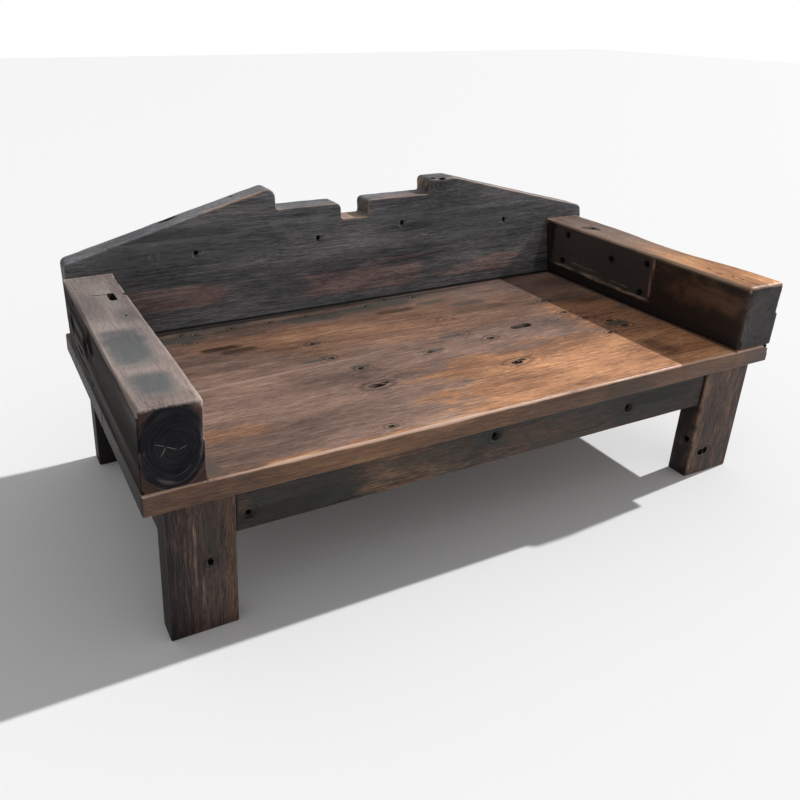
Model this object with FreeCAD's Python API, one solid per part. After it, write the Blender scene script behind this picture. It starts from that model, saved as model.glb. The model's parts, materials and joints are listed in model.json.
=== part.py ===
import FreeCAD, Part
import math
import os

# A low, deep daybed of reclaimed timber. Thick planks lie on a frame of legs and aprons.
# Two squared beams lie on the ends of the seat as arms, and a thick slab with a stepped
# crest leans back behind them. Millimetres, +X to the right, +Y to the back, +Z up.
# Inside the functions u runs right from the seat's left end, v back from its front edge.

V = FreeCAD.Vector

# Seat
seat_length = 1800.0
seat_depth = 880.0
seat_thickness = 52.0
seat_height = 408.0
seat_edge_round = 7.0
seam_gap = 0.6
# Seams of the boards: share of the seat's length, then share of its depth
front_seam_shares = ((0.0, 0.425), (0.133, 0.428), (0.385, 0.447), (0.507, 0.497), (0.714, 0.461),
                     (0.817, 0.418), (1.0, 0.405))
rear_seam_shares = ((0.0, 0.812), (0.137, 0.806), (0.346, 0.792), (0.463, 0.787), (0.59, 0.762),
                    (1.0, 0.75))
seat_slot_length = 62.0
seat_slot_width = 18.0
# Middle of the old slot: share of the seat's length, then share of its depth
seat_slot_shares = (0.686, 0.448)

# Legs
leg_thickness = 62.0
left_leg_width = 158.0
right_leg_width = 170.0
left_leg_inset = 45.0
right_leg_inset = 24.0
front_leg_setback = 30.0
rear_leg_setback = 18.0
leg_edge_round = 5.0
leg_sole_chamfer = 4.0

# Aprons and their tenons
apron_height = 120.0
apron_thickness = 40.0
apron_setback = 6.0
apron_edge_round = 5.0
tenon_thickness = 18.0
tenon_shoulder = 15.0
apron_tenon_length = 50.0
side_tenon_length = 34.0
mortise_relief = 2.0
joint_clearance = 0.2

# Cross bearers
bearer_width = 70.0
bearer_height = 45.0
bearer_tenon_length = 15.0
bearer_tenon_height = 24.0

# Arms
arm_width = 134.0
arm_height = 185.0
arm_edge_round = 9.0
arm_end_round = 6.0
arm_hollow_depth = 24.0
# Start, deepest place and end of the hollow in the right arm's outer face, as shares of its length
arm_hollow_shares = (0.1, 0.45, 0.84)

# Old slot in the top of the left arm, with the saw cut that runs into it
arm_slot_length = 54.0
arm_slot_width = 20.0
arm_slot_depth = 70.0
arm_slot_from_end = 92.0
arm_slot_from_backrest = 151.0
saw_cut_length = 42.0
saw_cut_width = 4.0
saw_cut_depth = 30.0

# Seat of a rail chair in the inner face of the right arm
chair_seat_length = 430.0
chair_seat_depth = 4.0
chair_seat_from_backrest = 13.0
chair_seat_rise = 40.0
chair_seat_round = 8.0
spike_hole_diameter = 20.0
spike_hole_depth = 56.0
# Spike holes: share of the chair seat's length, then share of its height
spike_hole_shares = ((0.86, 0.82), (0.886, 0.13), (0.388, 0.62), (0.06, 0.8), (0.08, 0.1))
top_hole_diameter = 16.0
top_hole_depth = 40.0
top_hole_from_inner_face = 54.0
top_hole_from_backrest = 131.0

# Backrest
backrest_inset = 7.0
backrest_overhang = 22.0
backrest_thickness = 76.0
backrest_rear_ledge = 31.5
backrest_edge_round = 7.0
lean_degrees = 11.2
# Heights of the crest above the seat, measured along the slope of the slab
left_end_rise = 225.0
left_peak_rise = 385.0
left_step_rise = 317.0
notch_rise = 267.0
right_step_rise = 317.0
right_shoulder_rise = 364.0
right_end_rise = 222.0
# Widths of the crest from its left end to the right
left_slope_width = 632.0
left_step_width = 216.0
notch_width = 93.0
right_step_width = 230.0
right_shoulder_width = 98.0
peak_round = 26.0
step_round = 18.0

# Bolt holes left from the timbers' earlier use
old_hole_diameter = 14.0
old_hole_depth = 45.0
old_counterbore_diameter = 28.0
old_counterbore_depth = 6.0
# Backrest: share of its length, then share of the left peak's rise
backrest_hole_shares = ((0.204, 0.561), (0.42, 0.566), (0.586, 0.61), (0.81, 0.535))
# Front apron: share of its length between the legs, then share of its height
apron_hole_shares = ((0.02, 0.34), (0.49, 0.63), (0.812, 0.47))
# Front left leg: share of its width, then share of its height
leg_hole_shares = (0.61, 0.51)

# Round wooden pins
peg_diameter = 10.0
peg_length = 50.0
peg_from_tenon_end = 24.0
# Pegs in each joint, as shares of the tenon's height
peg_shares = (0.28, 0.72)
board_dowel_diameter = 14.0
board_dowel_length = 90.0
# Place of the dowel in each bay between legs and bearers, as a share of the bay
board_dowel_share = 0.5
foot_dowel_diameter = 18.0
foot_dowel_length = 70.0
foot_dowel_count = 5

# Screws up through the bearers
screw_diameter = 6.0
screw_length = 70.0
screw_head_diameter = 12.0
screw_head_height = 4.0
screw_counterbore_depth = 9.0
# Screws along each bearer, as shares of the seat's depth
screw_place_shares = (0.14, 0.33, 0.62, 0.87)

# Bolts with washers
bolt_diameter = 12.0
bolt_head_across_flats = 19.0
bolt_head_height = 8.0
washer_diameter = 30.0
washer_thickness = 3.0
arm_bolt_length = 150.0
arm_bolt_from_inner_face = 26.0
# Bolts along each arm, as shares of the seat's depth
arm_bolt_shares = (0.185, 0.48, 0.7)
backrest_bolt_length = 165.0
backrest_counterbore_diameter = 36.0
backrest_counterbore_depth = 14.0
# Bolts into the end of each arm, as shares of the arm's height
backrest_bolt_shares = (0.27, 0.68)

# How far a cutting tool stands out of the face that it starts at
overrun = 5.0

lean = math.radians(lean_degrees)
seat_bottom = seat_height - seat_thickness
right_arm_start = seat_length - arm_width
left_leg_start = left_leg_inset
right_leg_start = seat_length - right_leg_inset - right_leg_width
left_leg_end = left_leg_start + left_leg_width
right_leg_end = right_leg_start + right_leg_width
front_leg_start = front_leg_setback
rear_leg_start = seat_depth - rear_leg_setback - leg_thickness
front_leg_back = front_leg_start + leg_thickness
rear_leg_back = rear_leg_start + leg_thickness
front_apron_start = front_leg_start + apron_setback
rear_apron_start = rear_leg_back - apron_setback - apron_thickness
left_apron_start = left_leg_start + apron_setback
right_apron_start = right_leg_end - apron_setback - apron_thickness
backrest_run = backrest_thickness / math.cos(lean)
backrest_from_front = seat_depth - backrest_rear_ledge - backrest_run
backrest_length = seat_length - backrest_inset + backrest_overhang
backrest_end = backrest_inset + backrest_length
arm_slot_middle = backrest_from_front - arm_slot_from_backrest
top_hole_middle = backrest_from_front - top_hole_from_backrest
chair_seat_start = backrest_from_front - chair_seat_from_backrest - chair_seat_length
chair_seat_height = arm_height - chair_seat_rise - arm_edge_round
arm_reach = backrest_from_front + arm_height / 2


def save_all(parts):
    """Write each sub-part, moved so that the origin is the middle of the footprint."""
    boxes = [shape.optimalBoundingBox() for shape in parts.values()]
    middle_u = (min(box.XMin for box in boxes) + max(box.XMax for box in boxes)) / 2
    middle_v = (min(box.YMin for box in boxes) + max(box.YMax for box in boxes)) / 2
    for name, shape in parts.items():
        placed = shape.copy()
        placed.translate(V(-middle_u, -middle_v, 0))
        placed.exportStep("parts/" + name + ".step")
        print(name, "solids", len(placed.Solids), "volume", round(placed.Volume))


def block(u, v, z, length, depth, height):
    """A squared timber from its low corner and its three sides."""
    return Part.makeBox(length, depth, height, V(u, v, z))


def rod(diameter, length, start, direction):
    """A round bar or bore along a direction."""
    return Part.makeCylinder(diameter / 2, length, start, direction)


def corner_points(before, corner, after, radius):
    """Start, middle and end of the arc that rounds one corner of an outline."""
    back = (before - corner).normalize()
    ahead = (after - corner).normalize()
    half_turn = back.getAngle(ahead) / 2
    run = radius / math.tan(half_turn)
    inward = (back + ahead).normalize()
    middle = corner + inward * (radius / math.sin(half_turn) - radius)
    return corner + back * run, middle, corner + ahead * run


def rounded_face(outline):
    """A flat face from (point, corner radius) pairs, each corner rounded by an arc."""
    edges = []
    ends = []
    count = len(outline)
    for index in range(count):
        corner, radius = outline[index]
        if radius == 0:
            ends.append((corner, corner))
            continue
        before = outline[index - 1][0]
        after = outline[(index + 1) % count][0]
        start, middle, end = corner_points(before, corner, after, radius)
        edges.append(Part.Arc(start, middle, end).toShape())
        ends.append((start, end))
    for index in range(count):
        start = ends[index][1]
        end = ends[(index + 1) % count][0]
        edges.append(Part.LineSegment(start, end).toShape())
    return Part.Face(Part.Wire(Part.__sortEdges__(edges)))


def edges_where(shape, wanted):
    """The edges whose middle point passes a test."""
    found = []
    for edge in shape.Edges:
        middle = edge.valueAt((edge.FirstParameter + edge.LastParameter) / 2)
        if wanted(edge, middle):
            found.append(edge)
    return found


def runs_along(edge, direction):
    """Whether a straight edge is parallel to a direction."""
    if not isinstance(edge.Curve, Part.Line):
        return False
    return abs(edge.Curve.Direction.dot(direction)) > math.cos(math.radians(1))


def slot_cutter(centre_u, centre_v, length, width, depth, top):
    """A tool for a slot with round ends, cut down from a level top along v."""
    low = top - depth
    tall = depth + overrun
    straight = length - width
    tool = block(centre_u - width / 2, centre_v - straight / 2, low, width, straight, tall)
    for side in (-1, 1):
        centre = V(centre_u, centre_v + side * straight / 2, low)
        tool = tool.fuse(rod(width, tall, centre, V(0, 0, 1)))
    return tool


def on_slab(u, rise, depth):
    """A point of the backrest: along it, up its slope, and in from its front face."""
    out = V(0, math.cos(lean), -math.sin(lean)) * depth
    up = V(0, math.sin(lean), math.cos(lean)) * rise
    return V(u, backrest_from_front, seat_height) + up + out


# Legs

def leg_mortises(leg_u, leg_width, leg_v, is_left, is_front):
    """Mortises for the long apron and the side apron, with their clearance."""
    low = seat_bottom - apron_height + tenon_shoulder - joint_clearance
    tall = apron_height - 2 * tenon_shoulder + 2 * joint_clearance
    thick = tenon_thickness + 2 * joint_clearance
    inset = (apron_thickness - tenon_thickness) / 2 - joint_clearance
    long_deep = apron_tenon_length + mortise_relief
    side_deep = side_tenon_length + mortise_relief
    apron_v = front_apron_start if is_front else rear_apron_start
    apron_u = left_apron_start if is_left else right_apron_start
    long_u = leg_u + leg_width - long_deep if is_left else leg_u - overrun
    side_v = leg_v + leg_thickness - side_deep if is_front else leg_v - overrun
    long_tool = block(long_u, apron_v + inset, low, long_deep + overrun, thick, tall)
    side_tool = block(apron_u + inset, side_v, low, thick, side_deep + overrun, tall)
    return long_tool.fuse(side_tool)


def peg_lines():
    """Start and direction of each peg, driven from inside the frame."""
    lines = []
    low = seat_bottom - apron_height + tenon_shoulder
    tall = apron_height - 2 * tenon_shoulder
    for leg_side in (left_leg_end - apron_tenon_length + peg_from_tenon_end,
                     right_leg_start + apron_tenon_length - peg_from_tenon_end):
        for share in peg_shares:
            z = low + tall * share
            lines.append((V(leg_side, front_leg_back, z), V(0, -1, 0)))
            lines.append((V(leg_side, rear_leg_start, z), V(0, 1, 0)))
    return lines


def peg_bores():
    """Bores for the pegs, in the legs and the tenons."""
    tools = []
    for start, direction in peg_lines():
        begin = start - direction * overrun
        deep = peg_length + mortise_relief + overrun
        tools.append(rod(peg_diameter + 2 * joint_clearance, deep, begin, direction))
    return Part.makeCompound(tools)


def leg(is_left, is_front):
    """One leg with rounded arrises, a chamfered sole and its mortises."""
    leg_u = left_leg_start if is_left else right_leg_start
    leg_width = left_leg_width if is_left else right_leg_width
    leg_v = front_leg_start if is_front else rear_leg_start
    body = block(leg_u, leg_v, 0, leg_width, leg_thickness, seat_bottom)
    uprights = edges_where(body, lambda edge, middle: runs_along(edge, V(0, 0, 1)))
    body = body.makeFillet(leg_edge_round, uprights)
    sole = edges_where(body, lambda edge, middle: middle.z < leg_sole_chamfer / 2)
    body = body.makeChamfer(leg_sole_chamfer, sole)
    body = body.cut(leg_mortises(leg_u, leg_width, leg_v, is_left, is_front))
    body = body.cut(peg_bores())
    if is_left and is_front:
        across, up = leg_hole_shares
        start = V(leg_u + leg_width * across, leg_v - overrun, seat_bottom * up)
        body = body.cut(rod(old_hole_diameter, old_hole_depth + overrun, start, V(0, 1, 0)))
    return body


# Aprons and bearers

def apron_blank(u, v, length, depth):
    """An apron without its tenons, its two lower long arrises rounded."""
    low = seat_bottom - apron_height
    body = block(u, v, low, length, depth, apron_height)
    along = V(1, 0, 0) if length > depth else V(0, 1, 0)
    lower = edges_where(body, lambda edge, middle: runs_along(edge, along) and middle.z < low + overrun)
    return body.makeFillet(apron_edge_round, lower)


def bearer_places():
    """Left side of each bearer, evenly spaced between the legs."""
    span = right_leg_start - left_leg_end
    names = ("left", "middle", "right")
    step = (span - len(names) * bearer_width) / (len(names) + 1)
    return [(name, left_leg_end + step + index * (step + bearer_width)) for index, name in enumerate(names)]


def bearer_tenon_block(u, v, length, clearance):
    """A tenon on the end of a bearer, or with clearance the mortise for it."""
    low = seat_bottom - bearer_height + (bearer_height - bearer_tenon_height) / 2
    wide = bearer_width + 2 * clearance
    tall = bearer_tenon_height + 2 * clearance
    return block(u - clearance, v, low - clearance, wide, length, tall)


def long_apron(is_front):
    """Front or rear apron with a tenon at each end and the bearers' mortises."""
    v = front_apron_start if is_front else rear_apron_start
    length = right_leg_start - left_leg_end
    body = apron_blank(left_leg_end, v, length, apron_thickness)
    inset = (apron_thickness - tenon_thickness) / 2
    tenon = block(left_leg_end - apron_tenon_length, v + inset, seat_bottom - apron_height + tenon_shoulder,
                  length + 2 * apron_tenon_length, tenon_thickness, apron_height - 2 * tenon_shoulder)
    body = body.fuse(tenon).removeSplitter()
    deep = bearer_tenon_length + mortise_relief
    start = v + apron_thickness - deep if is_front else v - overrun
    for name, u in bearer_places():
        body = body.cut(bearer_tenon_block(u, start, deep + overrun, joint_clearance))
    body = body.cut(peg_bores())
    if is_front:
        body = body.cut(apron_holes(left_leg_end, v, length))
    return body


def apron_holes(u, v, length):
    """Counterbored bolt holes from the timber's earlier use."""
    tools = []
    for along, up in apron_hole_shares:
        start = V(u + old_counterbore_diameter / 2 + along * (length - old_counterbore_diameter), v - overrun,
                  seat_bottom - apron_height + up * apron_height)
        tools.append(rod(old_counterbore_diameter, old_counterbore_depth + overrun, start, V(0, 1, 0)))
        tools.append(rod(old_hole_diameter, apron_thickness / 2 + overrun, start, V(0, 1, 0)))
    return Part.makeCompound(tools)


def side_apron(is_left):
    """Left or right apron with a tenon into the front leg and one into the rear leg."""
    u = left_apron_start if is_left else right_apron_start
    depth = rear_leg_start - front_leg_back
    body = apron_blank(u, front_leg_back, apron_thickness, depth)
    inset = (apron_thickness - tenon_thickness) / 2
    tenon = block(u + inset, front_leg_back - side_tenon_length, seat_bottom - apron_height + tenon_shoulder,
                  tenon_thickness, depth + 2 * side_tenon_length, apron_height - 2 * tenon_shoulder)
    return body.fuse(tenon).removeSplitter()


def bearer(u):
    """One cross bearer with its stub tenons and counterbored screw holes."""
    start = front_apron_start + apron_thickness
    depth = rear_apron_start - start
    body = block(u, start, seat_bottom - bearer_height, bearer_width, depth, bearer_height)
    tenon = bearer_tenon_block(u, start - bearer_tenon_length, depth + 2 * bearer_tenon_length, 0)
    body = body.fuse(tenon).removeSplitter()
    return body.cut(screw_bores(u))


# Seat

def seam_points(shares, shift):
    """The wandering line between two boards, from the seat's left end to its right end."""
    return [V(along * seat_length, back * seat_depth + shift, seat_bottom) for along, back in shares]


def seam_depth(shares, u):
    """How far from the seat's front edge the middle of a seam's gap lies at one place."""
    points = seam_points(shares, seam_gap / 2)
    for start, end in zip(points, points[1:]):
        if start.x <= u <= end.x:
            return start.y + (end.y - start.y) * (u - start.x) / (end.x - start.x)


def straight_points(v):
    """The straight front or rear edge of the seat."""
    return [V(0, v, seat_bottom), V(seat_length, v, seat_bottom)]


def board(front_points, rear_points):
    """A seat board between two lines that run from the left end to the right end."""
    outline = front_points + rear_points[::-1] + front_points[:1]
    return Part.Face(Part.makePolygon(outline)).extrude(V(0, 0, seat_thickness))


def dowel_lines(shares):
    """Middle of each dowel across one seam, one in each bay between legs and bearers."""
    height = seat_bottom + seat_thickness / 2
    bay_starts = [left_leg_end] + [u + bearer_width for name, u in bearer_places()]
    bay_ends = [u for name, u in bearer_places()] + [right_leg_start]
    centres = []
    for start, end in zip(bay_starts, bay_ends):
        u = start + board_dowel_share * (end - start)
        centres.append(V(u, seam_depth(shares, u), height))
    return centres


def board_dowel(centre, diameter, length):
    """A dowel across a seam, or with more size its bore."""
    return rod(diameter, length, centre - V(0, length / 2, 0), V(0, 1, 0))


def board_dowel_bores(shares):
    """Bores for the dowels of one seam."""
    wide = board_dowel_diameter + 2 * joint_clearance
    deep = board_dowel_length + 2 * mortise_relief
    return Part.makeCompound([board_dowel(centre, wide, deep) for centre in dowel_lines(shares)])


def rounded_board(body, front_v):
    """Round the front top arris of the foremost board, and the top arris of each end."""
    top = seat_height - seat_edge_round / 2

    def worn(edge, middle):
        at_end = middle.x < seat_edge_round or middle.x > seat_length - seat_edge_round
        at_front = front_v == 0 and middle.y < seat_edge_round
        return middle.z > top and (at_end or at_front)

    return body.makeFillet(seat_edge_round, edges_where(body, worn))


def front_board():
    """The board that is sat on, with the old mortise slot."""
    body = board(straight_points(0), seam_points(front_seam_shares, 0))
    body = rounded_board(body, 0)
    slot = slot_cutter(0, 0, seat_slot_length, seat_slot_width, seat_thickness + overrun, seat_height)
    slot.rotate(V(0, 0, 0), V(0, 0, 1), 90)
    along, back = seat_slot_shares
    slot.translate(V(along * seat_length, back * seat_depth, 0))
    body = body.cut(slot)
    return finished_board(body, (front_seam_shares,))


def middle_board():
    """The board behind it, up to the narrow one."""
    body = board(seam_points(front_seam_shares, seam_gap), seam_points(rear_seam_shares, 0))
    body = rounded_board(body, seat_depth)
    return finished_board(body, (front_seam_shares, rear_seam_shares))


def rear_board():
    """The narrow board that the backrest stands on."""
    body = board(seam_points(rear_seam_shares, seam_gap), straight_points(seat_depth))
    body = rounded_board(body, seat_depth)
    return finished_board(body, (rear_seam_shares,)).cut(foot_dowel_bores())


def finished_board(body, seams):
    """Bore a seat board for its dowels, screws and arm bolts."""
    for shares in seams:
        body = body.cut(board_dowel_bores(shares))
    for name, u in bearer_places():
        body = body.cut(screw_bores(u))
    return body.cut(arm_bolt_bores())


# Arms

def behind_slope(u):
    """Everything behind the sloping rear end of an arm."""
    low = on_slab(u - overrun, -overrun, 0)
    high = on_slab(u - overrun, arm_height / math.cos(lean) + overrun, 0)
    back = V(0, arm_height, 0)
    face = Part.Face(Part.makePolygon([low, high, high + back, low + back, low]))
    return face.extrude(V(arm_width + 2 * overrun, 0, 0))


def arm_blank(u, right_side):
    """An arm's beam from the edges of its right side, its rear end cut to the backrest's slope."""
    front_right = V(u + arm_width, 0, seat_height)
    rear_right = V(u + arm_width, arm_reach, seat_height)
    rear_left = V(u, arm_reach, seat_height)
    front_left = V(u, 0, seat_height)
    others = Part.makePolygon([rear_right, rear_left, front_left, front_right]).Edges
    plan = Part.Wire(Part.__sortEdges__(others + right_side))
    beam = Part.Face(plan).extrude(V(0, 0, arm_height))
    return beam.cut(behind_slope(u))


def round_arm(body):
    """Round the long arrises and the arrises round the front end."""
    long_edges = edges_where(body, lambda edge, middle: not on_end(middle))
    body = body.makeFillet(arm_edge_round, long_edges)
    front = edges_where(body, lambda edge, middle: middle.y < arm_end_round / 2)
    return body.makeFillet(arm_end_round, front)


def on_end(middle):
    """Whether a point lies on the front end or on the sloping rear end of an arm."""
    slope = backrest_from_front + (middle.z - seat_height) * math.tan(lean)
    near = arm_end_round / 2
    return middle.y < near or abs(middle.y - slope) < near


def left_arm():
    """Left arm with its old slot and saw cut in the top."""
    side = Part.LineSegment(V(arm_width, 0, seat_height), V(arm_width, arm_reach, seat_height)).toShape()
    body = round_arm(arm_blank(0, [side]))
    top = seat_height + arm_height
    slot = slot_cutter(arm_slot_from_end, arm_slot_middle, arm_slot_length, arm_slot_width,
                       arm_slot_depth, top)
    cut_v = arm_slot_middle + arm_slot_length / 2 - saw_cut_width * 2
    saw_cut = block(arm_slot_from_end - saw_cut_length, cut_v, top - saw_cut_depth,
                    saw_cut_length, saw_cut_width, saw_cut_depth + overrun)
    body = body.cut(slot.fuse(saw_cut))
    return body.cut(arm_bolt_bores()).cut(backrest_bolt_bores())


def hollow_half(shallow, deep):
    """Two tangent arcs of one radius, from the straight face to the bottom of the hollow."""
    run = deep - shallow
    radius = (run ** 2 + arm_hollow_depth ** 2) / (4 * arm_hollow_depth)
    sag = radius - math.sqrt(radius ** 2 - (run / 4) ** 2)
    inwards = (0, sag, arm_hollow_depth / 2, arm_hollow_depth - sag, arm_hollow_depth)
    points = [V(seat_length - inward, shallow + run * index / 4, seat_height)
              for index, inward in enumerate(inwards)]
    return [Part.Arc(*points[:3]).toShape(), Part.Arc(*points[2:]).toShape()]


def hollow_side():
    """Outer side of the right arm in plan: straight, a long worn hollow, then straight again."""
    start, deepest, end = [share * backrest_from_front for share in arm_hollow_shares]
    front = Part.LineSegment(V(seat_length, 0, seat_height), V(seat_length, start, seat_height)).toShape()
    rear = Part.LineSegment(V(seat_length, end, seat_height), V(seat_length, arm_reach, seat_height)).toShape()
    return [front] + hollow_half(start, deepest) + hollow_half(end, deepest) + [rear]


def chair_seat_cutter():
    """A tool for the shallow seat of a rail chair in the inner face of the right arm."""
    u = right_arm_start - overrun
    low = seat_height + chair_seat_rise
    far = chair_seat_start + chair_seat_length
    high = low + chair_seat_height
    corners = ((chair_seat_start, low), (far, low), (far, high), (chair_seat_start, high))
    outline = [(V(u, v, z), chair_seat_round) for v, z in corners]
    return rounded_face(outline).extrude(V(overrun + chair_seat_depth, 0, 0))


def spike_holes():
    """Bores that the rail spikes left."""
    tools = []
    for along, up in spike_hole_shares:
        start = V(right_arm_start - overrun, chair_seat_start + along * chair_seat_length,
                  seat_height + chair_seat_rise + up * chair_seat_height)
        tools.append(rod(spike_hole_diameter, spike_hole_depth + overrun, start, V(1, 0, 0)))
    return Part.makeCompound(tools)


def right_arm():
    """Right arm with its hollow outer face, rail chair seat and spike holes."""
    body = round_arm(arm_blank(right_arm_start, hollow_side()))
    body = body.cut(chair_seat_cutter()).cut(spike_holes())
    top = V(right_arm_start + top_hole_from_inner_face, top_hole_middle,
            seat_height + arm_height + overrun)
    body = body.cut(rod(top_hole_diameter, top_hole_depth + overrun, top, V(0, 0, -1)))
    return body.cut(arm_bolt_bores()).cut(backrest_bolt_bores())


# Backrest

def crest_outline():
    """Corners of the backrest from its front, as (point, corner radius) pairs."""
    wall = backrest_inset + left_slope_width
    notch_left = wall + left_step_width
    notch_right = notch_left + notch_width
    shoulder = notch_right + right_step_width
    slope_start = shoulder + right_shoulder_width
    corners = [(backrest_inset, 0, 0), (backrest_inset, left_end_rise, step_round),
               (wall, left_peak_rise, peak_round), (wall, left_step_rise, 0),
               (notch_left, left_step_rise, step_round), (notch_left, notch_rise, 0),
               (notch_right, notch_rise, 0), (notch_right, right_step_rise, step_round),
               (shoulder, right_step_rise, 0), (shoulder, right_shoulder_rise, step_round),
               (slope_start, right_shoulder_rise, peak_round), (backrest_end, right_end_rise, step_round),
               (backrest_end, 0, 0)]
    return [(on_slab(u, rise, 0), radius) for u, rise, radius in corners]


def backrest():
    """The leaning slab with its stepped crest, old bolt holes and counterbores."""
    body = rounded_face(crest_outline()).extrude(V(0, backrest_run, 0))
    foot = seat_height + backrest_edge_round

    def worn(edge, middle):
        crosses = runs_along(edge, V(0, 1, 0))
        return middle.z > foot and not crosses

    body = body.makeFillet(backrest_edge_round, edges_where(body, worn))
    body = body.cut(backrest_holes()).cut(foot_dowel_bores())
    return body.cut(backrest_bolt_bores())


def backrest_holes():
    """Bolt holes right through the slab, from the timber's earlier use."""
    tools = []
    for along, up in backrest_hole_shares:
        u = backrest_inset + along * backrest_length
        start = on_slab(u, up * left_peak_rise, -overrun)
        through = on_slab(u, up * left_peak_rise, backrest_thickness + overrun) - start
        tools.append(rod(old_hole_diameter, through.Length, start, through))
    return Part.makeCompound(tools)


# Wooden pins

def frame_pegs():
    """Draw pegs of the mortise and tenon joints."""
    return Part.makeCompound([rod(peg_diameter, peg_length, start, way) for start, way in peg_lines()])


def board_dowels():
    """Dowels across both seams of the seat."""
    centres = dowel_lines(front_seam_shares) + dowel_lines(rear_seam_shares)
    return Part.makeCompound([board_dowel(c, board_dowel_diameter, board_dowel_length) for c in centres])


def foot_dowel_rods(diameter, length):
    """Upright pins between the rear board and the foot of the backrest."""
    step = backrest_length / foot_dowel_count
    centre_v = backrest_from_front + backrest_run / 2
    rods = []
    for index in range(foot_dowel_count):
        u = backrest_inset + step * (index + 0.5)
        rods.append(rod(diameter, length, V(u, centre_v, seat_height - length / 2), V(0, 0, 1)))
    return Part.makeCompound(rods)


def foot_dowel_bores():
    """Bores for those pins."""
    return foot_dowel_rods(foot_dowel_diameter + 2 * joint_clearance, foot_dowel_length + 2 * mortise_relief)


# Screws, bolts and washers

def screw_points(u):
    """Underside of each screw's head along one bearer."""
    z = seat_bottom - bearer_height + screw_counterbore_depth
    return [V(u + bearer_width / 2, share * seat_depth, z) for share in screw_place_shares]


def screw_bores(u):
    """Counterbores and bores for the screws of one bearer."""
    tools = []
    for point in screw_points(u):
        mouth = V(point.x, point.y, point.z - screw_counterbore_depth - overrun)
        wide = screw_head_diameter + 2 * joint_clearance
        tools.append(rod(wide, screw_counterbore_depth + overrun, mouth, V(0, 0, 1)))
        deep = screw_length + mortise_relief
        tools.append(rod(screw_diameter + 2 * joint_clearance, deep, point, V(0, 0, 1)))
    return Part.makeCompound(tools)


def seat_screws():
    """Round headed screws up through the bearers into the boards."""
    screws = []
    for name, u in bearer_places():
        for point in screw_points(u):
            shank = rod(screw_diameter, screw_length, point, V(0, 0, 1))
            head = rod(screw_head_diameter, screw_head_height, point, V(0, 0, -1))
            screws.append(shank.fuse(head))
    return Part.makeCompound(screws)


def arm_bolt_points():
    """Where each arm bolt enters the underside of the seat."""
    points = []
    for u in (arm_width - arm_bolt_from_inner_face, right_arm_start + arm_bolt_from_inner_face):
        for share in arm_bolt_shares:
            points.append(V(u, share * seat_depth, seat_bottom))
    return points


def backrest_bolt_points():
    """Where each backrest bolt's washer sits, at the bottom of its counterbore."""
    depth = backrest_thickness - backrest_counterbore_depth
    points = []
    for u in (arm_width / 2, seat_length - arm_width / 2):
        for share in backrest_bolt_shares:
            points.append(on_slab(u, share * arm_height, depth))
    return points


def bolt(seat, way, length):
    """A hexagon head bolt whose washer lies on its seat and whose shank runs the given way."""
    head_seat = seat - way * washer_thickness
    shank = rod(bolt_diameter, length, head_seat, way)
    corner = bolt_head_across_flats / 2 / math.cos(math.radians(30))
    side = V(1, 0, 0)
    across = way.cross(side)
    ring = [head_seat + (side * math.cos(turn) + across * math.sin(turn)) * corner
            for turn in [math.radians(60 * index) for index in range(7)]]
    head = Part.Face(Part.makePolygon(ring)).extrude(-way * bolt_head_height)
    return shank.fuse(head)


def washer(seat, way):
    """A flat washer on its seat."""
    ring = rod(washer_diameter, washer_thickness, seat, -way)
    bore = rod(bolt_diameter + 2 * joint_clearance, washer_thickness, seat, -way)
    return ring.cut(bore)


def into_arms():
    """The way the backrest bolts run, square to the slab and forwards."""
    return V(0, -math.cos(lean), math.sin(lean))


def arm_bolt_bores():
    """Bores for the arm bolts, through the boards and into the arms."""
    wide = bolt_diameter + 2 * joint_clearance
    deep = arm_bolt_length + mortise_relief
    return Part.makeCompound([rod(wide, deep, point - V(0, 0, washer_thickness), V(0, 0, 1))
                              for point in arm_bolt_points()])


def backrest_bolt_bores():
    """Counterbores in the back of the slab and bores on into the arms."""
    way = into_arms()
    tools = []
    for point in backrest_bolt_points():
        mouth = point - way * (backrest_counterbore_depth + overrun)
        tools.append(rod(backrest_counterbore_diameter, backrest_counterbore_depth + overrun, mouth, way))
        deep = backrest_bolt_length + mortise_relief
        tools.append(rod(bolt_diameter + 2 * joint_clearance, deep, point - way * washer_thickness, way))
    return Part.makeCompound(tools)


def build():
    os.makedirs("parts", exist_ok=True)
    up = V(0, 0, 1)
    way = into_arms()
    arm_points = arm_bolt_points()
    back_points = backrest_bolt_points()
    parts = {
        "leg_front_left": leg(True, True),
        "leg_front_right": leg(False, True),
        "leg_rear_left": leg(True, False),
        "leg_rear_right": leg(False, False),
        "apron_front": long_apron(True),
        "apron_rear": long_apron(False),
        "apron_left": side_apron(True),
        "apron_right": side_apron(False),
        "seat_board_front": front_board(),
        "seat_board_middle": middle_board(),
        "seat_board_rear": rear_board(),
        "arm_left": left_arm(),
        "arm_right": right_arm(),
        "backrest": backrest(),
        "frame_pegs": frame_pegs(),
        "seat_dowels": board_dowels(),
        "backrest_foot_dowels": foot_dowel_rods(foot_dowel_diameter, foot_dowel_length),
        "seat_screws": seat_screws(),
        "arm_bolts": Part.makeCompound([bolt(p, up, arm_bolt_length) for p in arm_points]),
        "arm_bolt_washers": Part.makeCompound([washer(p, up) for p in arm_points]),
        "backrest_bolts": Part.makeCompound([bolt(p, way, backrest_bolt_length) for p in back_points]),
        "backrest_bolt_washers": Part.makeCompound([washer(p, way) for p in back_points]),
    }
    for name, u in bearer_places():
        parts["bearer_" + name] = bearer(u)
    save_all(parts)


build()
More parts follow.
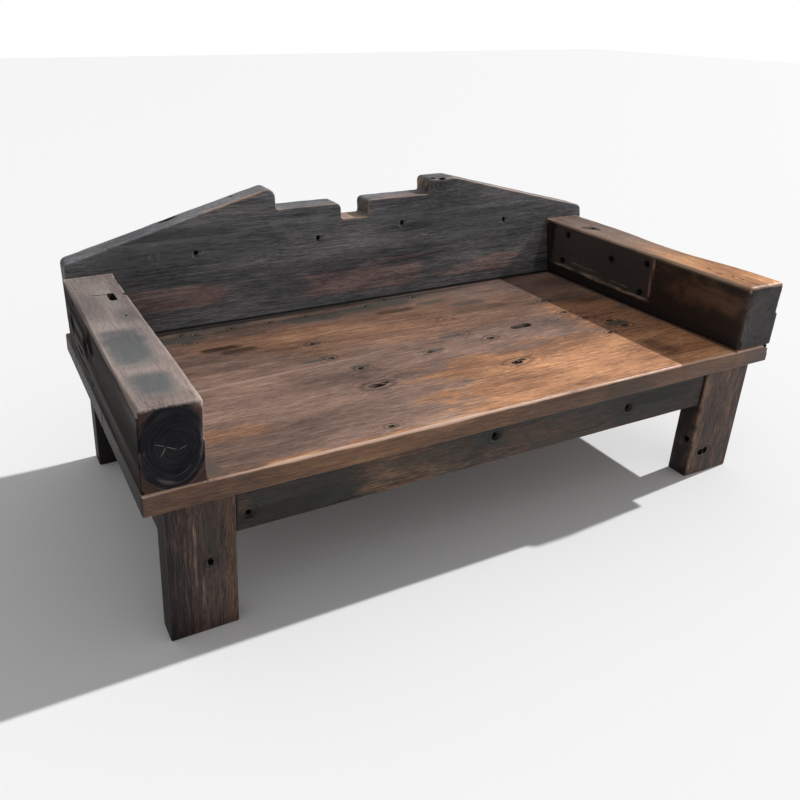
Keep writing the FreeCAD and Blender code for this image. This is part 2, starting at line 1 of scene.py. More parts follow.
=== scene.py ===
# %% [markdown]
# # A daybed of reclaimed timber
#
# The bench is put together from timber that had another life: squared track beams are its
# arms, a thick slab leans behind as its backrest, and wide planks are its seat. Everything
# that makes it look as it does is wear: soft arrises, open grain, old bolt holes, nail
# stains and drying cracks. So this lesson is about one thing, how to age plain timbers.
#
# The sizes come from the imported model, which is loaded as a fixed frame. Each timber here
# stands where its plain solid stands and never leaves its outline.

# %% Load the frame
import json
import math

import bmesh
import bpy
import numpy as np
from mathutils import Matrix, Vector
from mathutils.kdtree import KDTree

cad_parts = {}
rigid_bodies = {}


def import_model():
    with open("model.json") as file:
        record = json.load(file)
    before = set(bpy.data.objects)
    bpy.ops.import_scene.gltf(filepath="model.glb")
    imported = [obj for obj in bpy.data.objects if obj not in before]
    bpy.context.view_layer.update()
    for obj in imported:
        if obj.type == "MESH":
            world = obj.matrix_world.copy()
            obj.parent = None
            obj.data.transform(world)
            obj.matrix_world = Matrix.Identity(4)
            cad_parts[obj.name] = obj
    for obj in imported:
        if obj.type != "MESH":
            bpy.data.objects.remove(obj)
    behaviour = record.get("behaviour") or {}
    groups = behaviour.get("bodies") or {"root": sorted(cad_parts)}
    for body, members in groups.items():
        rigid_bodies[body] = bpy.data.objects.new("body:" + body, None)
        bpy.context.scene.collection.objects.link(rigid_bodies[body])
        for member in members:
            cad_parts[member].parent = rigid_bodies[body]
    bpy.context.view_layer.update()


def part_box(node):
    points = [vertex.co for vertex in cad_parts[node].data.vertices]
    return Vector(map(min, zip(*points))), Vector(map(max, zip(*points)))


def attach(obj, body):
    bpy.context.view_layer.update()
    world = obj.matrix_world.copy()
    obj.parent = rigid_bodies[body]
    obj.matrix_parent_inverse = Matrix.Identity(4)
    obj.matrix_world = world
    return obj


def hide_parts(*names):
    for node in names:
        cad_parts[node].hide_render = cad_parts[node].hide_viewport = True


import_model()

# %% [markdown]
# ## Where things are measured from
#
# A joiner measures a seat from its middle and its front edge, so marks are given that way
# here: x to the right of the seat's middle, y back from its front edge, z above its top.
# One function turns such a mark into a place in the frame.

# %% Reference lines of the bench
SEAT_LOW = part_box("seat_board_front")[0]
SEAT_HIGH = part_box("seat_board_rear")[1]
SEAT_LENGTH = SEAT_HIGH.x - SEAT_LOW.x
SEAT_DEPTH = SEAT_HIGH.y - SEAT_LOW.y
SEAT_THICKNESS = SEAT_HIGH.z - SEAT_LOW.z
SEAT_MIDDLE = (SEAT_LOW.x + SEAT_HIGH.x) / 2
ORIGIN = np.array([SEAT_MIDDLE, SEAT_LOW.y, SEAT_HIGH.z])
UP = (0.0, 0.0, 1.0)
FORWARD = (0.0, -1.0, 0.0)
TO_THE_LEFT = (-1.0, 0.0, 0.0)
LEAN = math.radians(11.2)
SLOPE_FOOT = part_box("backrest")[0].y - SEAT_LOW.y


def marks(rows):
    """Places in the frame from rows of x, y, z measured on the bench."""
    return np.array(rows, float) + ORIGIN


print("seat", round(SEAT_LENGTH, 3), "x", round(SEAT_DEPTH, 3), "foot of the slope", round(SLOPE_FOOT, 3))

# %% [markdown]
# ## Smooth random values
#
# Wear is random but never jumps. This is value noise: random numbers on a lattice, blended
# smoothly between its points. A different scale for each direction stretches the bumps
# along the grain, which is what makes them look like wood. The seed keeps every run alike.

# %% Value noise on arrays of points
LATTICE = 31
PAST_ZERO = 500.5


def soft_noise(points, scale, seed):
    """Values from -1 to 1 that change smoothly, scale times per metre in each direction."""
    table = np.random.default_rng(seed).uniform(-1, 1, (LATTICE, LATTICE, LATTICE))
    spots = points * np.array(scale, float) + PAST_ZERO
    cell = np.floor(spots).astype(int)
    part = spots - cell
    part = part * part * (3 - 2 * part)
    total = np.zeros(len(points))
    for corner in np.ndindex(2, 2, 2):
        index = (cell + corner) % LATTICE
        weight = np.prod(np.where(corner, part, 1 - part), axis=1)
        total += weight * table[index[:, 0], index[:, 1], index[:, 2]]
    return total


def step_up(values, low, high):
    """0 below low, 1 above high and a smooth step between them."""
    t = np.clip((values - low) / (high - low), 0, 1)
    return t * t * (3 - 2 * t)


print("noise", np.round(soft_noise(np.array([[0.1, 0.2, 0.3]]), (3, 30, 30), 1), 3))

# %% [markdown]
# ## The blank of a timber
#
# A timber starts as the skin of a box. Its mesh lines lie far apart along the grain and
# close together across it, because that is how wood changes, and they crowd at the arrises,
# where the surface turns. A subdivided cube would spend its faces evenly and waste most.

# %% Mesh lines and the skin of a box
ARRIS_LINES = np.array([0, 0.12, 0.3, 0.5, 0.7, 0.87, 1.0])


def lines(length, step, edge, extra):
    """Places of the mesh lines along one side of a timber."""
    close = edge * ARRIS_LINES
    count = max(2, round((length - 2 * edge) / step))
    middle = np.linspace(edge, length - edge, count + 1)[1:-1]
    return np.unique(np.concatenate([close, middle, length - close, np.array(extra, float)]))


def skin(xs, ys, zs):
    """Corner places and outward faces of a closed box with those lines on its sides."""
    number = np.full((len(xs), len(ys), len(zs)), -1)
    outside = np.zeros(number.shape, bool)
    for axis in range(3):
        for end in (0, -1):
            np.moveaxis(outside, axis, 0)[end] = True
    number[outside] = np.arange(outside.sum())
    i, j, k = np.nonzero(outside)
    faces = []
    for axis in range(3):
        for end in (0, -1):
            sheet = np.take(number, end, axis)
            quads = np.stack([sheet[:-1, :-1], sheet[1:, :-1], sheet[1:, 1:], sheet[:-1, 1:]], -1)
            turned = (end == 0) != (axis == 1)
            quads = quads.reshape(-1, 4)
            faces.append(quads[:, ::-1] if turned else quads)
    return np.column_stack([xs[i], ys[j], zs[k]]), np.concatenate(faces).tolist()


print("a cube with one line across each side has", len(skin(*[np.arange(3)] * 3)[1]), "faces")


# %% [markdown]
# ## Wearing the arrises
#
# Hands, feet and weather take the corners off first. Each point is pulled onto a rounded
# box, and the radius of that rounding wanders along the timber. A bevel modifier would
# give the same width everywhere, which is the mark of a new machined board.

# %% Round a box unevenly


def wear_edges(points, size, radius):
    """The points of a box moved onto its worn form, and the way each one faces."""
    r = np.minimum(radius, size.min() * 0.45)[:, None]
    core = np.clip(points, r, size - r)
    out = points - core
    facing = out / np.linalg.norm(out, axis=1, keepdims=True)
    return core + facing * r, facing


def edge_distance(points, size):
    """How far each point of a box's skin lies from the nearest arris."""
    gaps = np.minimum(points, size - points)
    return np.sort(gaps, axis=1)[:, 1]


def show(name, data):
    """A new object at the origin, shown in the scene."""
    thing = bpy.data.objects.new(name, data)
    bpy.context.scene.collection.objects.link(thing)
    return thing


def new_piece(name, points, faces, values, hollow):
    """An object at the origin with its place in its mesh, a value per point and hollow per face."""
    mesh = bpy.data.meshes.new(name)
    mesh.from_pydata(points.tolist(), [], faces)
    for label, numbers in values.items():
        layer = mesh.attributes.new(label, "FLOAT", "POINT")
        layer.data.foreach_set("value", np.asarray(numbers, np.float32))
    layer = mesh.attributes.new("hollow", "FLOAT", "FACE")
    layer.data.foreach_set("value", np.full(len(mesh.polygons), hollow, np.float32))
    return show(name, mesh)


# %% [markdown]
# ## One function for all timbers
#
# The steps are always the same: skin of a box, worn arrises, relief, then a map that carries
# the straight timber to its real form and place. The marks that a finish needs later are
# kept as values on the mesh: how worn a spot is, whether it is end grain, how the fibres
# swing round a knot, where stains lie and where light and shade are painted. A finish can
# then follow the wear of the piece.

# %% Build an aged timber
GRAIN_AXES = {"x": 0, "y": 1, "z": 2}


def even_rub(flat, size, edge):
    """How worn each point is: 1 on an arris, 0 a little way in from it."""
    return 1 - step_up(edge_distance(flat, size), 0, edge * 1.5)


def timber(name, size, steps, edge, grain, relief, place, paint, extra=((), (), ()), radius=None,
           rub=even_rub):
    """An aged timber: relief gives the depth of its hollows, place its form and paint its marks."""
    size = np.array(size, float)
    sides = [lines(size[axis], steps[axis], edge, extra[axis]) for axis in range(3)]
    flat, faces = skin(*sides)
    wander = 1 + 0.35 * soft_noise(flat, (6, 6, 6), len(name)) + 0.2 * soft_noise(flat, (23, 23, 23), 3)
    width = edge * 0.72 if radius is None else radius(flat, size)
    worn, facing = wear_edges(flat, size, width * wander)
    along = GRAIN_AXES[grain]
    worn = worn - facing * relief(worn, facing)[:, None]
    points = place(worn)
    values = {"worn": rub(flat, size, edge)}
    values.update(paint(points, facing))
    piece = new_piece(name, points, faces, values, 0.0)
    normals = np.empty(3 * len(points), np.float32)
    piece.data.vertices.foreach_get("normal", normals)
    ends = step_up(np.abs(normals.reshape(-1, 3)[:, along]), 0.55, 0.9)
    piece.data.attributes.new("end", "FLOAT", "POINT").data.foreach_set("value", ends.astype(np.float32))
    return piece


def grain_scale(grain, along, across):
    """One value along the grain and another one across it, in the order x, y, z."""
    return [along if axis == GRAIN_AXES[grain] else across for axis in range(3)]


def weathered(grain, depth, seed):
    """Relief of open grain: long shallow waves, ridges between the fibres and a few dents."""
    def relief(points, facing):
        waves = 0.5 + 0.5 * soft_noise(points, grain_scale(grain, 1.6, 11), seed)
        ridges = 0.5 + 0.5 * soft_noise(points, grain_scale(grain, 4, 150), seed + 1)
        strands = 0.5 + 0.5 * soft_noise(points, grain_scale(grain, 9, 330), seed + 2)
        dents = step_up(soft_noise(points, grain_scale(grain, 14, 40), seed + 3), 0.62, 0.95)
        side = 1 - 0.7 * np.abs(facing[:, GRAIN_AXES[grain]])
        return depth * side * (0.9 * waves + 0.7 * ridges + 0.4 * strands + 0.9 * dents)
    return relief


# %% [markdown]
# ## Painting marks onto a mesh
#
# Stains, and the patches of painted light and shade, are soft boxes with ragged borders,
# stretched along the grain. Knots swing the fibres aside, so each knot also pushes the grain
# pattern apart on both of its sides.

# %% Stains, painted light and shade, knots and tints as values


def soft_patch(points, centre, reach, seed, ragged=0.3, soft=0.3):
    """1 inside a soft edged box round a mark, 0 outside, with a ragged border."""
    q = np.abs(points - marks([centre])) / np.array(reach)
    far = np.power(np.sum(q ** 4, axis=1), 0.25)
    far = far + ragged * soft_noise(points, (9, 34, 34), seed)
    far = far + 0.5 * ragged * soft_noise(points, (40, 90, 90), seed)
    return 1 - step_up(far, 1 - soft, 1 + soft)


def swing(points, centre, grain, across, length, width):
    """How far the fibres are pushed aside by a knot, in metres across the grain."""
    away = points - marks([centre])
    along = away[:, GRAIN_AXES[grain]] / length
    side = away[:, across] / width
    return width * 0.8 * np.tanh(side * 2) * np.exp(-along ** 2 - side ** 2 * 0.35)


def rings_of_dirt(points, places, wide, high):
    """Dark halo round each hole: wide along x and high along y and z, times the hole's size."""
    total = np.zeros(len(points))
    for place, reach in places:
        away = (points - marks([place])) / (np.array([wide, high, high]) * reach)
        total = np.maximum(total, np.exp(-np.sum(away ** 2, axis=1)))
    return total


# %% [markdown]
# ## Cutting tools
#
# Holes, knots and cracks are cut from the finished skin with closed cutters. The cut face
# carries the value hollow, so that a finish can paint shade into the inside of every hole.

# %% Cutters made from a ring of points


def prism(name, outline, axis_out, low, high, hollow=1.0):
    """A closed cutter from a ring of points, from low to high along the way out of the face."""
    out = np.array(axis_out, float)
    ring = np.array(outline, float)
    points = np.concatenate([ring + out * low, ring + out * high])
    count = len(ring)
    faces = [list(range(count))[::-1], list(range(count, 2 * count))]
    for index in range(count):
        after = (index + 1) % count
        faces.append([index, after, after + count, index + count])
    return new_piece(name, points, faces, {}, hollow)


def ring_points(centre, side, up, width, height, count, power, ragged, seed):
    """A round, oval or squarish ring of points on a face, ragged by a share of its size."""
    random = np.random.default_rng(seed)
    rough = random.uniform(-1, 1, count)
    rough = 1 + ragged * (rough + np.roll(rough, 1) + np.roll(rough, 2)) / 2
    turn = np.arange(count) * 2 * math.pi / count
    wide = np.sign(np.cos(turn)) * np.abs(np.cos(turn)) ** (2 / power) * width / 2 * rough
    tall = np.sign(np.sin(turn)) * np.abs(np.sin(turn)) ** (2 / power) * height / 2 * rough
    return centre + np.outer(wide, side) + np.outer(tall, up)


# %% [markdown]
# ## The cut
#
# A Boolean modifier takes each cutter away. Its Manifold solver is fast and keeps the skin
# closed. New corners at the rim of a hole know nothing of the marks round them, so each
# takes the marks of the nearest corner that was there before the cut.

# %% Cut a piece
SAME_PLACE = 1e-6


def set_outward(piece):
    """Turn all faces of a closed mesh outwards."""
    form = bmesh.new()
    form.from_mesh(piece.data)
    bmesh.ops.recalc_face_normals(form, faces=form.faces)
    form.to_mesh(piece.data)
    form.free()


def take_mesh(piece):
    """Replace a piece's mesh by the result of its modifiers, and drop them."""
    graph = bpy.context.evaluated_depsgraph_get()
    result = bpy.data.meshes.new_from_object(piece.evaluated_get(graph))
    piece.modifiers.clear()
    piece.data = result


def mark_values(piece):
    """The painted values of a piece, one row for each mark."""
    layers = [layer for layer in piece.data.attributes
              if layer.domain == "POINT" and layer.data_type == "FLOAT" and not layer.name.startswith(".")]
    values = {}
    for layer in layers:
        values[layer.name] = np.empty(len(piece.data.vertices), np.float32)
        layer.data.foreach_get("value", values[layer.name])
    return values


def cut(piece, cutters):
    """Cut each closed cutter from a piece, then give the rims of the holes the marks round them."""
    before = mark_values(piece)
    tree = KDTree(len(piece.data.vertices))
    for vertex in piece.data.vertices:
        tree.insert(vertex.co, vertex.index)
    tree.balance()
    for cutter in cutters:
        set_outward(cutter)
        work = piece.modifiers.new("cut", "BOOLEAN")
        work.solver = "MANIFOLD"
        work.operation = "DIFFERENCE"
        work.object = cutter
        take_mesh(piece)
        bpy.data.objects.remove(cutter)
    after = mark_values(piece)
    hollow = np.empty(len(piece.data.polygons), np.float32)
    piece.data.attributes["hollow"].data.foreach_get("value", hollow)
    old_faces = [face for face, deep in zip(piece.data.polygons, hollow) if deep < 0.01]
    rims = {index for face in old_faces for index in face.vertices}
    for index in rims:
        _, nearest, away = tree.find(piece.data.vertices[index].co)
        if away > SAME_PLACE:
            for name, numbers in after.items():
                numbers[index] = before[name][nearest]
    for name, numbers in after.items():
        piece.data.attributes[name].data.foreach_set("value", numbers)


# %% [markdown]
# ## Node trees written as sums
#
# A wire is one output of a node. Adding or multiplying wires adds the nodes that do it, so
# a finish reads like the sum it is. The bench places every other kind of node.

# %% Wires


class Wire:
    """One output of a node, which takes part in sums as a number does."""

    def __init__(self, bench, socket):
        self.bench = bench
        self.socket = socket

    def maths(self, operation, first, second):
        """A sum or product of two numbers or wires."""
        return self.bench.put("ShaderNodeMath", {"operation": operation}, {0: first, 1: second})

    def __add__(self, other):
        return self.maths("ADD", self, other)

    def __radd__(self, other):
        return self.maths("ADD", other, self)

    def __sub__(self, other):
        return self.maths("SUBTRACT", self, other)

    def __rsub__(self, other):
        return self.maths("SUBTRACT", other, self)

    def __mul__(self, other):
        return self.maths("MULTIPLY", self, other)

    def __rmul__(self, other):
        return self.maths("MULTIPLY", other, self)

    def __pow__(self, other):
        return self.maths("POWER", self, other)

    def ramp(self, low, high):
        """A smooth step from 0 at low to 1 at high."""
        return self.bench.put("ShaderNodeMapRange", {"interpolation_type": "SMOOTHSTEP"},
                              {"Value": self, "From Min": low, "From Max": high})

    def other(self, name):
        """Another output of the same node."""
        return Wire(self.bench, self.socket.node.outputs[name])


# %% The bench that places nodes


class Bench:
    """A node tree in the making."""

    def __init__(self, tree):
        self.tree = tree

    def put(self, kind, settings=None, sockets=None, output=0):
        """Place a node, settings first, then the values or wires of its sockets."""
        node = self.tree.nodes.new(kind)
        for name, value in (settings or {}).items():
            if name == "stops":
                self.fill_ramp(node.color_ramp, value)
            else:
                setattr(node, name, value)
        for name, value in (sockets or {}).items():
            if isinstance(value, Wire):
                self.tree.links.new(value.socket, node.inputs[name])
            else:
                node.inputs[name].default_value = value
        return Wire(self, node.outputs[output]) if len(node.outputs) else node

    def fill_ramp(self, ramp, stops):
        """Set the stops of a colour ramp, each a place from 0 to 1 and a colour."""
        while len(ramp.elements) < len(stops):
            ramp.elements.new(0.5)
        for element, (place, colour) in zip(ramp.elements, stops):
            element.position = place
            element.color = colour

    def noise(self, vector, detail, roughness=0.55):
        """Smooth noise from 0 to 1 at a vector that is already scaled."""
        return self.put("ShaderNodeTexNoise", {"noise_dimensions": "3D"},
                        {"Vector": vector, "Scale": 1.0, "Detail": detail, "Roughness": roughness})

    def join(self, x, y, z):
        """A vector from three numbers or wires."""
        return self.put("ShaderNodeCombineXYZ", {}, {0: x, 1: y, 2: z})

    def mix(self, share, first, second, mode="MIX"):
        """A colour that goes from the first to the second with the share."""
        return self.put("ShaderNodeMix", {"data_type": "RGBA", "blend_type": mode},
                        {0: share, 6: first, 7: second}, output=2)

    def nearest(self, spot, rows):
        """Distance to the nearest of several marks, each a centre and its half sizes, in those sizes."""
        near = 9.0
        for centre, reach in rows:
            away = self.put("ShaderNodeVectorMath", {"operation": "SUBTRACT"}, {0: spot, 1: centre})
            away = self.put("ShaderNodeVectorMath", {"operation": "DIVIDE"}, {0: away, 1: reach})
            far = self.put("ShaderNodeVectorMath", {"operation": "LENGTH"}, {0: away}, output="Value")
            near = self.put("ShaderNodeMath", {"operation": "MINIMUM"}, {0: near, 1: far})
        return near

    def finish_tree(self, geometry, material):
        """End a geometry tree: real geometry with its material."""
        real = self.put("GeometryNodeRealizeInstances", {}, {"Geometry": geometry})
        real = self.put("GeometryNodeSetMaterial", {}, {"Geometry": real, "Material": material})
        self.put("NodeGroupOutput", {}, {"Geometry": real})

    def value_of(self, name):
        """A value that was painted on the mesh."""
        return self.put("ShaderNodeAttribute", {"attribute_name": name}, {}, output="Fac")


# %% An empty bench and a tone


def empty_bench(owner):
    """The cleared node tree of a material or a world, ready for new nodes."""
    owner.use_nodes = True
    owner.node_tree.nodes.clear()
    return Bench(owner.node_tree)


def tone(red, green, blue):
    """A colour as a painter names it, 0 to 255 in each, turned into light."""
    parts = [channel / 255 for channel in (red, green, blue)]
    return tuple(p / 12.92 if p < 0.04045 else ((p + 0.055) / 1.055) ** 2.4 for p in parts) + (1.0,)


print("a warm brown", np.round(tone(160, 112, 80), 3))

# %% [markdown]
# ## The finish of old timber
#
# Old oiled timber has layers: wide clouds, streaks, lines, single fibres and pores. Each is
# the same noise, stretched along the grain at its own scale. All but the pores are centred on
# zero, so a layer can be left weak without a change of tone. Two sets of tones, a plain one
# and a warm one, are mixed along the streaks. Then come the marks: grey patches, end grain
# with rings round its pith, rings round each knot, rubbed arrises, painted light and shade,
# dirt, and holes darkened inside as painted shade. The same layers feed the roughness and
# the bump, so a streak that stands proud is also dull.

# %% One wood finish with its own tones for each timber


def spread(tones):
    """Ramp stops for tones from dark to light."""
    return [(0.14 + 0.72 * index / (len(tones) - 1), tone(*row)) for index, row in enumerate(tones)]


def wood(name, grain, tones, second, pale, grey, end_tones, *, gloss, cloudy, contrast, fine, rub,
         holes=(), pith=(0.0, 0.0), bump=0.0007, broken=1.0, tight=1.0, offset=0.0, sheen=0.3):
    """Old timber with its grain along x, y or z, in two sets of tones, with the marks of its mesh."""
    pale, grey, end_dark, end_pale, end_rim = [tone(*row) for row in (pale, grey, *end_tones)]
    material = bpy.data.materials.new(name)
    b = empty_bench(material)
    spot = b.put("ShaderNodeTexCoord", {}, {}, output="Object")
    axes = b.put("ShaderNodeSeparateXYZ", {}, {0: spot})
    axes = {"x": axes, "y": axes.other("Y"), "z": axes.other("Z")}
    along = axes.pop(grain) + offset
    first, second_axis = axes.values()
    swirl = b.value_of("swirl")
    sway = b.noise(b.join(along * 2.0, first * 7.0, second_axis * 7.0), 2.0) - 0.5
    side = first + sway * 0.022 + swirl
    deep = second_axis + sway * 0.018 + swirl

    cloud = b.noise(b.join(along * 2.6, side * 9.0, deep * 9.0), 4.0) - 0.5
    hue = b.noise(b.join(along * 1.8 + 7.0, side * 6.5, deep * 6.5), 3.0) - 0.5
    streak = b.noise(b.join(along * 6.5, side * 85.0 * tight, deep * 85.0 * tight), 5.0, 0.6) - 0.5
    line = b.noise(b.join(along * 17.0, side * 230.0 * tight, deep * 230.0 * tight), 3.0, 0.62) - 0.5
    fibre = b.noise(b.join(along * 50.0, side * 620.0, deep * 620.0), 2.0, 0.6) - 0.5
    pore = b.noise(b.join(along * 60.0, side * 1000.0, deep * 1000.0), 1.0).ramp(0.62, 0.72)
    grit = b.noise(b.join(along * 420.0, side * 700.0, deep * 700.0), 2.0) - 0.5

    level = cloud * 1.4 * cloudy + streak * 1.3 * contrast + line * 1.5 * fine + fibre * fine + 0.5
    colour = b.put("ShaderNodeValToRGB", {"stops": spread(tones)}, {"Fac": level})
    other = b.put("ShaderNodeValToRGB", {"stops": spread(second)}, {"Fac": level})
    split = streak * 1.2 * broken + line * 0.9 * broken
    warm = b.value_of("warm") + hue * 0.9 * cloudy + split * 0.8
    colour = b.mix(warm.ramp(0.0, 1.0), colour, other)
    grey_share = b.value_of("grey") + split * 1.6 + cloud * 0.5
    colour = b.mix(grey_share.ramp(0.15, 0.85) * 0.9, colour, grey)

    end = b.value_of("end")
    ring_x, ring_y = first - pith[0], second_axis - pith[1]
    radius = (ring_x * ring_x + ring_y * ring_y) ** 0.5 + (sway + cloud) * 0.012
    ring = b.noise(b.join(radius * 300.0, first * 14.0, second_axis * 14.0), 3.0, 0.7) - 0.5
    end_level = ring * 1.3 + grit * 0.6 + cloud * 0.9 + 0.35
    end_stops = {"stops": [(0.2, end_dark), (0.85, end_pale)]}
    end_colour = b.put("ShaderNodeValToRGB", end_stops, {"Fac": end_level})
    rim = (b.value_of("rim") + cloud * 1.6 + ring * 1.4).ramp(0.3, 0.8)
    end_colour = b.mix(rim, end_colour, end_rim)
    colour = b.mix(end, colour, end_colour)

    near = b.nearest(spot, holes) + cloud * 1.2 + streak * 1.4
    halo = near.ramp(3.0, 1.0)
    wave = b.put("ShaderNodeMath", {"operation": "SINE"}, {0: near * 5.6})
    shade = 0.98 + fibre * 0.35 + line * 0.25 + grit * 0.3
    shade = shade * (1 + b.value_of("light")) * (1 - halo * (0.20 + wave * 0.30))
    gain = b.put("ShaderNodeCombineColor", {}, {0: shade, 1: shade, 2: shade})
    colour = b.mix(1.0, colour, gain, "MULTIPLY")

    worn = (b.value_of("worn") + streak * 1.1 + cloud * 1.4).ramp(0.5, 1.05) + b.value_of("worn_line")
    colour = b.mix(worn * rub, colour, pale)
    # Dirt and painted shade: real dirt, and shade painted into creases, joints, under the seat and onto
    # sides turned from the key light, darken the colour towards near black.
    dirt = (b.value_of("dirt") + line * 0.8 + cloud * 0.4).ramp(0.15, 0.85)
    colour = b.mix(dirt * 0.88, colour, tone(28, 25, 25))
    colour = b.mix(pore * 0.3 * fine, colour, tone(34, 27, 24))
    hollow = b.value_of("hollow")
    # Painted shade inside holes: the cut faces go near black. Where hollow is below zero, the walls turn
    # pale instead.
    colour = b.mix(hollow * 0.92, colour, tone(14, 12, 12))
    colour = b.mix(hollow * -0.8, colour, pale)

    dull = gloss + streak * 0.35 + line * 0.2 + pore * 0.12 + hollow * 0.4
    dull = dull + end * 0.12 + dirt * 0.12 - worn * 0.05
    height = streak * 0.5 + line * 0.7 + fibre * 0.3 + grit * 0.1 - pore * 0.4 - ring * end * 0.3
    normal = b.put("ShaderNodeBump", {}, {"Strength": 0.9, "Distance": bump, "Height": height})
    looks = {"Base Color": colour, "Roughness": dull, "Normal": normal, "Specular IOR Level": sheen}
    surface = b.put("ShaderNodeBsdfPrincipled", {}, looks)
    b.put("ShaderNodeOutputMaterial", {}, {"Surface": surface})
    return material


# %% [markdown]
# ## The seat
#
# Three planks lie side by side. Their seams wander, because the planks were fitted to each
# other as they came. The lines of the seams are the same shares of the seat as in the
# frame, so the planks meet with only a hair between them.

# %% Seat planks
FRONT_SEAM = np.array([(0.0, 0.425), (0.133, 0.428), (0.385, 0.447), (0.507, 0.497), (0.714, 0.461),
                       (0.817, 0.418), (1.0, 0.405)])
REAR_SEAM = np.array([(0.0, 0.812), (0.137, 0.806), (0.346, 0.792), (0.463, 0.787), (0.59, 0.762),
                      (1.0, 0.75)])
SEAM_GAP = 0.0006
SEAT_EDGE = 0.008
SEAM_EDGE = 0.0011


def seam(shares, x, shift=0.0):
    """Depth of a seam behind the seat's front edge, at distances from its left end."""
    return np.interp(x / SEAT_LENGTH, shares[:, 0], shares[:, 1]) * SEAT_DEPTH + shift


def plank(name, front, rear, front_radius, rear_radius, seed):
    """A seat plank between two lines, each given as a function of the place along the seat."""
    width = float(np.mean(rear(np.array([0.0, SEAT_LENGTH])) - front(np.array([0.0, SEAT_LENGTH]))))

    def place(points):
        near, far = front(points[:, 0]), rear(points[:, 0])
        y = near + points[:, 1] / width * (far - near)
        return np.column_stack([points[:, 0], y, points[:, 2]]) + np.array(SEAT_LOW)

    def radius(points, size):
        low = points[:, 2] < size[2] / 2
        at_end = np.minimum(points[:, 0], size[0] - points[:, 0]) < 0.02
        side = np.where(points[:, 1] < size[1] / 2, front_radius, rear_radius)
        side = np.where(at_end, np.maximum(side, SEAT_EDGE * 0.7), side)
        return np.where(low, np.minimum(side, 0.004), side)

    def rub(flat, size, edge):
        """Only the outer arrises are rubbed pale, the seams hardly at all."""
        ends = np.minimum(flat[:, 0], size[0] - flat[:, 0])
        side = np.where(flat[:, 1] < size[1] / 2, flat[:, 1], size[1] - flat[:, 1])
        width = np.where(flat[:, 1] < size[1] / 2, front_radius, rear_radius)
        top = size[2] - flat[:, 2]
        outer = 1 - step_up(np.hypot(side, top), 0.2 * width, 1.35 * width)
        outer = outer * np.where(width < 0.002, 0.62, 1.0)
        return np.maximum(outer, 0.5 * (1 - step_up(np.hypot(ends, top), 0.0, edge)))

    size = (SEAT_LENGTH, width, SEAT_THICKNESS)
    return timber(name, size, (0.009, 0.003, 0.007), SEAT_EDGE, "x", weathered("x", 0.0003, seed), place,
                  seat_paint, radius=radius, rub=rub)


# %% [markdown]
# ## Marks on the seat
#
# The nail holes of the old floor stand in a row on the narrow rear plank. On the wide
# planks there are knots with rings, two torn ones, and a mortise slot. Each stain is a row:
# its strength, its middle and its reach. The strongest one counts where two overlap, because
# wood that is grey already does not go grey twice.

# %% Places of the holes and knots on the seat
NAIL_HOLES = [(-0.607, 0.727), (-0.566, 0.716), (-0.454, 0.724), (-0.335, 0.722), (-0.216, 0.723),
              (-0.167, 0.693), (-0.007, 0.724), (0.076, 0.752), (0.173, 0.735)]
SMALL_KNOTS = [(-0.238, 0.332), (-0.018, 0.345), (0.145, 0.411), (-0.288, 0.524), (-0.598, 0.661),
               (0.546, 0.250), (0.545, 0.537), (-0.281, 0.419), (-0.322, 0.038)]
OPEN_KNOTS = [(0.532, 0.430), (0.568, 0.370), (0.629, 0.273), (0.196, 0.356), (0.617, 0.321)]
RINGED_KNOTS = [(0.161, 0.530)]
TORN_KNOTS = [(-0.246, 0.228), (0.169, 0.198)]
SEAT_HOLES = [((x, y, 0), (0.0085, 0.0075, 0.03)) for x, y in NAIL_HOLES]
SEAT_HOLES += [((x, y, 0), (0.014, 0.009, 0.03)) for x, y in SMALL_KNOTS]
SEAT_HOLES += [((x, y, 0), (0.022, 0.011, 0.03)) for x, y in OPEN_KNOTS + RINGED_KNOTS]
SEAT_HOLES += [((x, y, 0), (0.034, 0.015, 0.03)) for x, y in TORN_KNOTS]

# %% Stains and painted light on the seat
# The first row, the broad warm pool at the front right, is painted sunlight as well as warm tint; the other
# rows are tints of the wood.
SEAT_WARM = [
    (1.0, (0.38, 0.10, 0), (0.48, 0.19, 1)), (0.45, (0.10, 0.55, 0), (0.55, 0.12, 1)),
    (0.5, (-0.35, 0.60, 0), (0.25, 0.06, 1)), (0.6, (-0.72, 0.150, 0), (0.15, 0.030, 1)),
    (0.8, (0.62, 0.40, 0), (0.14, 0.12, 1)), (0.9, (0.66, 0.12, 0), (0.12, 0.14, 1)),
    (1.10, (0.0, 0.0, -0.03), (1.0, 0.02, 0.035))]
SEAT_GREY = [
    (1.00, (-0.50, 0.746, 0), (0.12, 0.020, 1)), (0.95, (-0.20, 0.697, 0), (0.09, 0.025, 1)),
    (0.90, (-0.62, 0.700, 0), (0.07, 0.022, 1)), (0.95, (0.02, 0.716, 0), (0.13, 0.018, 1)),
    (0.85, (0.13, 0.743, 0), (0.10, 0.020, 1)), (0.60, (0.30, 0.742, 0), (0.08, 0.009, 1)),
    (0.65, (0.20, 0.672, 0), (0.05, 0.009, 1)), (0.60, (0.30, 0.620, 0), (0.07, 0.018, 1)),
    (0.55, (0.757, 0.35, 0), (0.007, 0.46, 1)), (1.00, (0.617, 0.296, 0), (0.038, 0.011, 1)),
    (0.80, (-0.318, 0.421, 0), (0.050, 0.008, 1)), (0.85, (0.105, 0.413, 0), (0.050, 0.008, 1)),
    (0.85, (0.010, 0.349, 0), (0.028, 0.008, 1)), (0.75, (-0.230, 0.340, 0), (0.034, 0.010, 1)),
    (0.60, (-0.288, 0.524, 0), (0.030, 0.010, 1)), (0.60, (-0.745, 0.045, 0), (0.018, 0.050, 1)),
    (0.70, (0.86, 0.0, -0.02), (0.06, 0.04, 0.06)), (0.35, (-0.20, 0.74, 0), (0.60, 0.040, 1))]
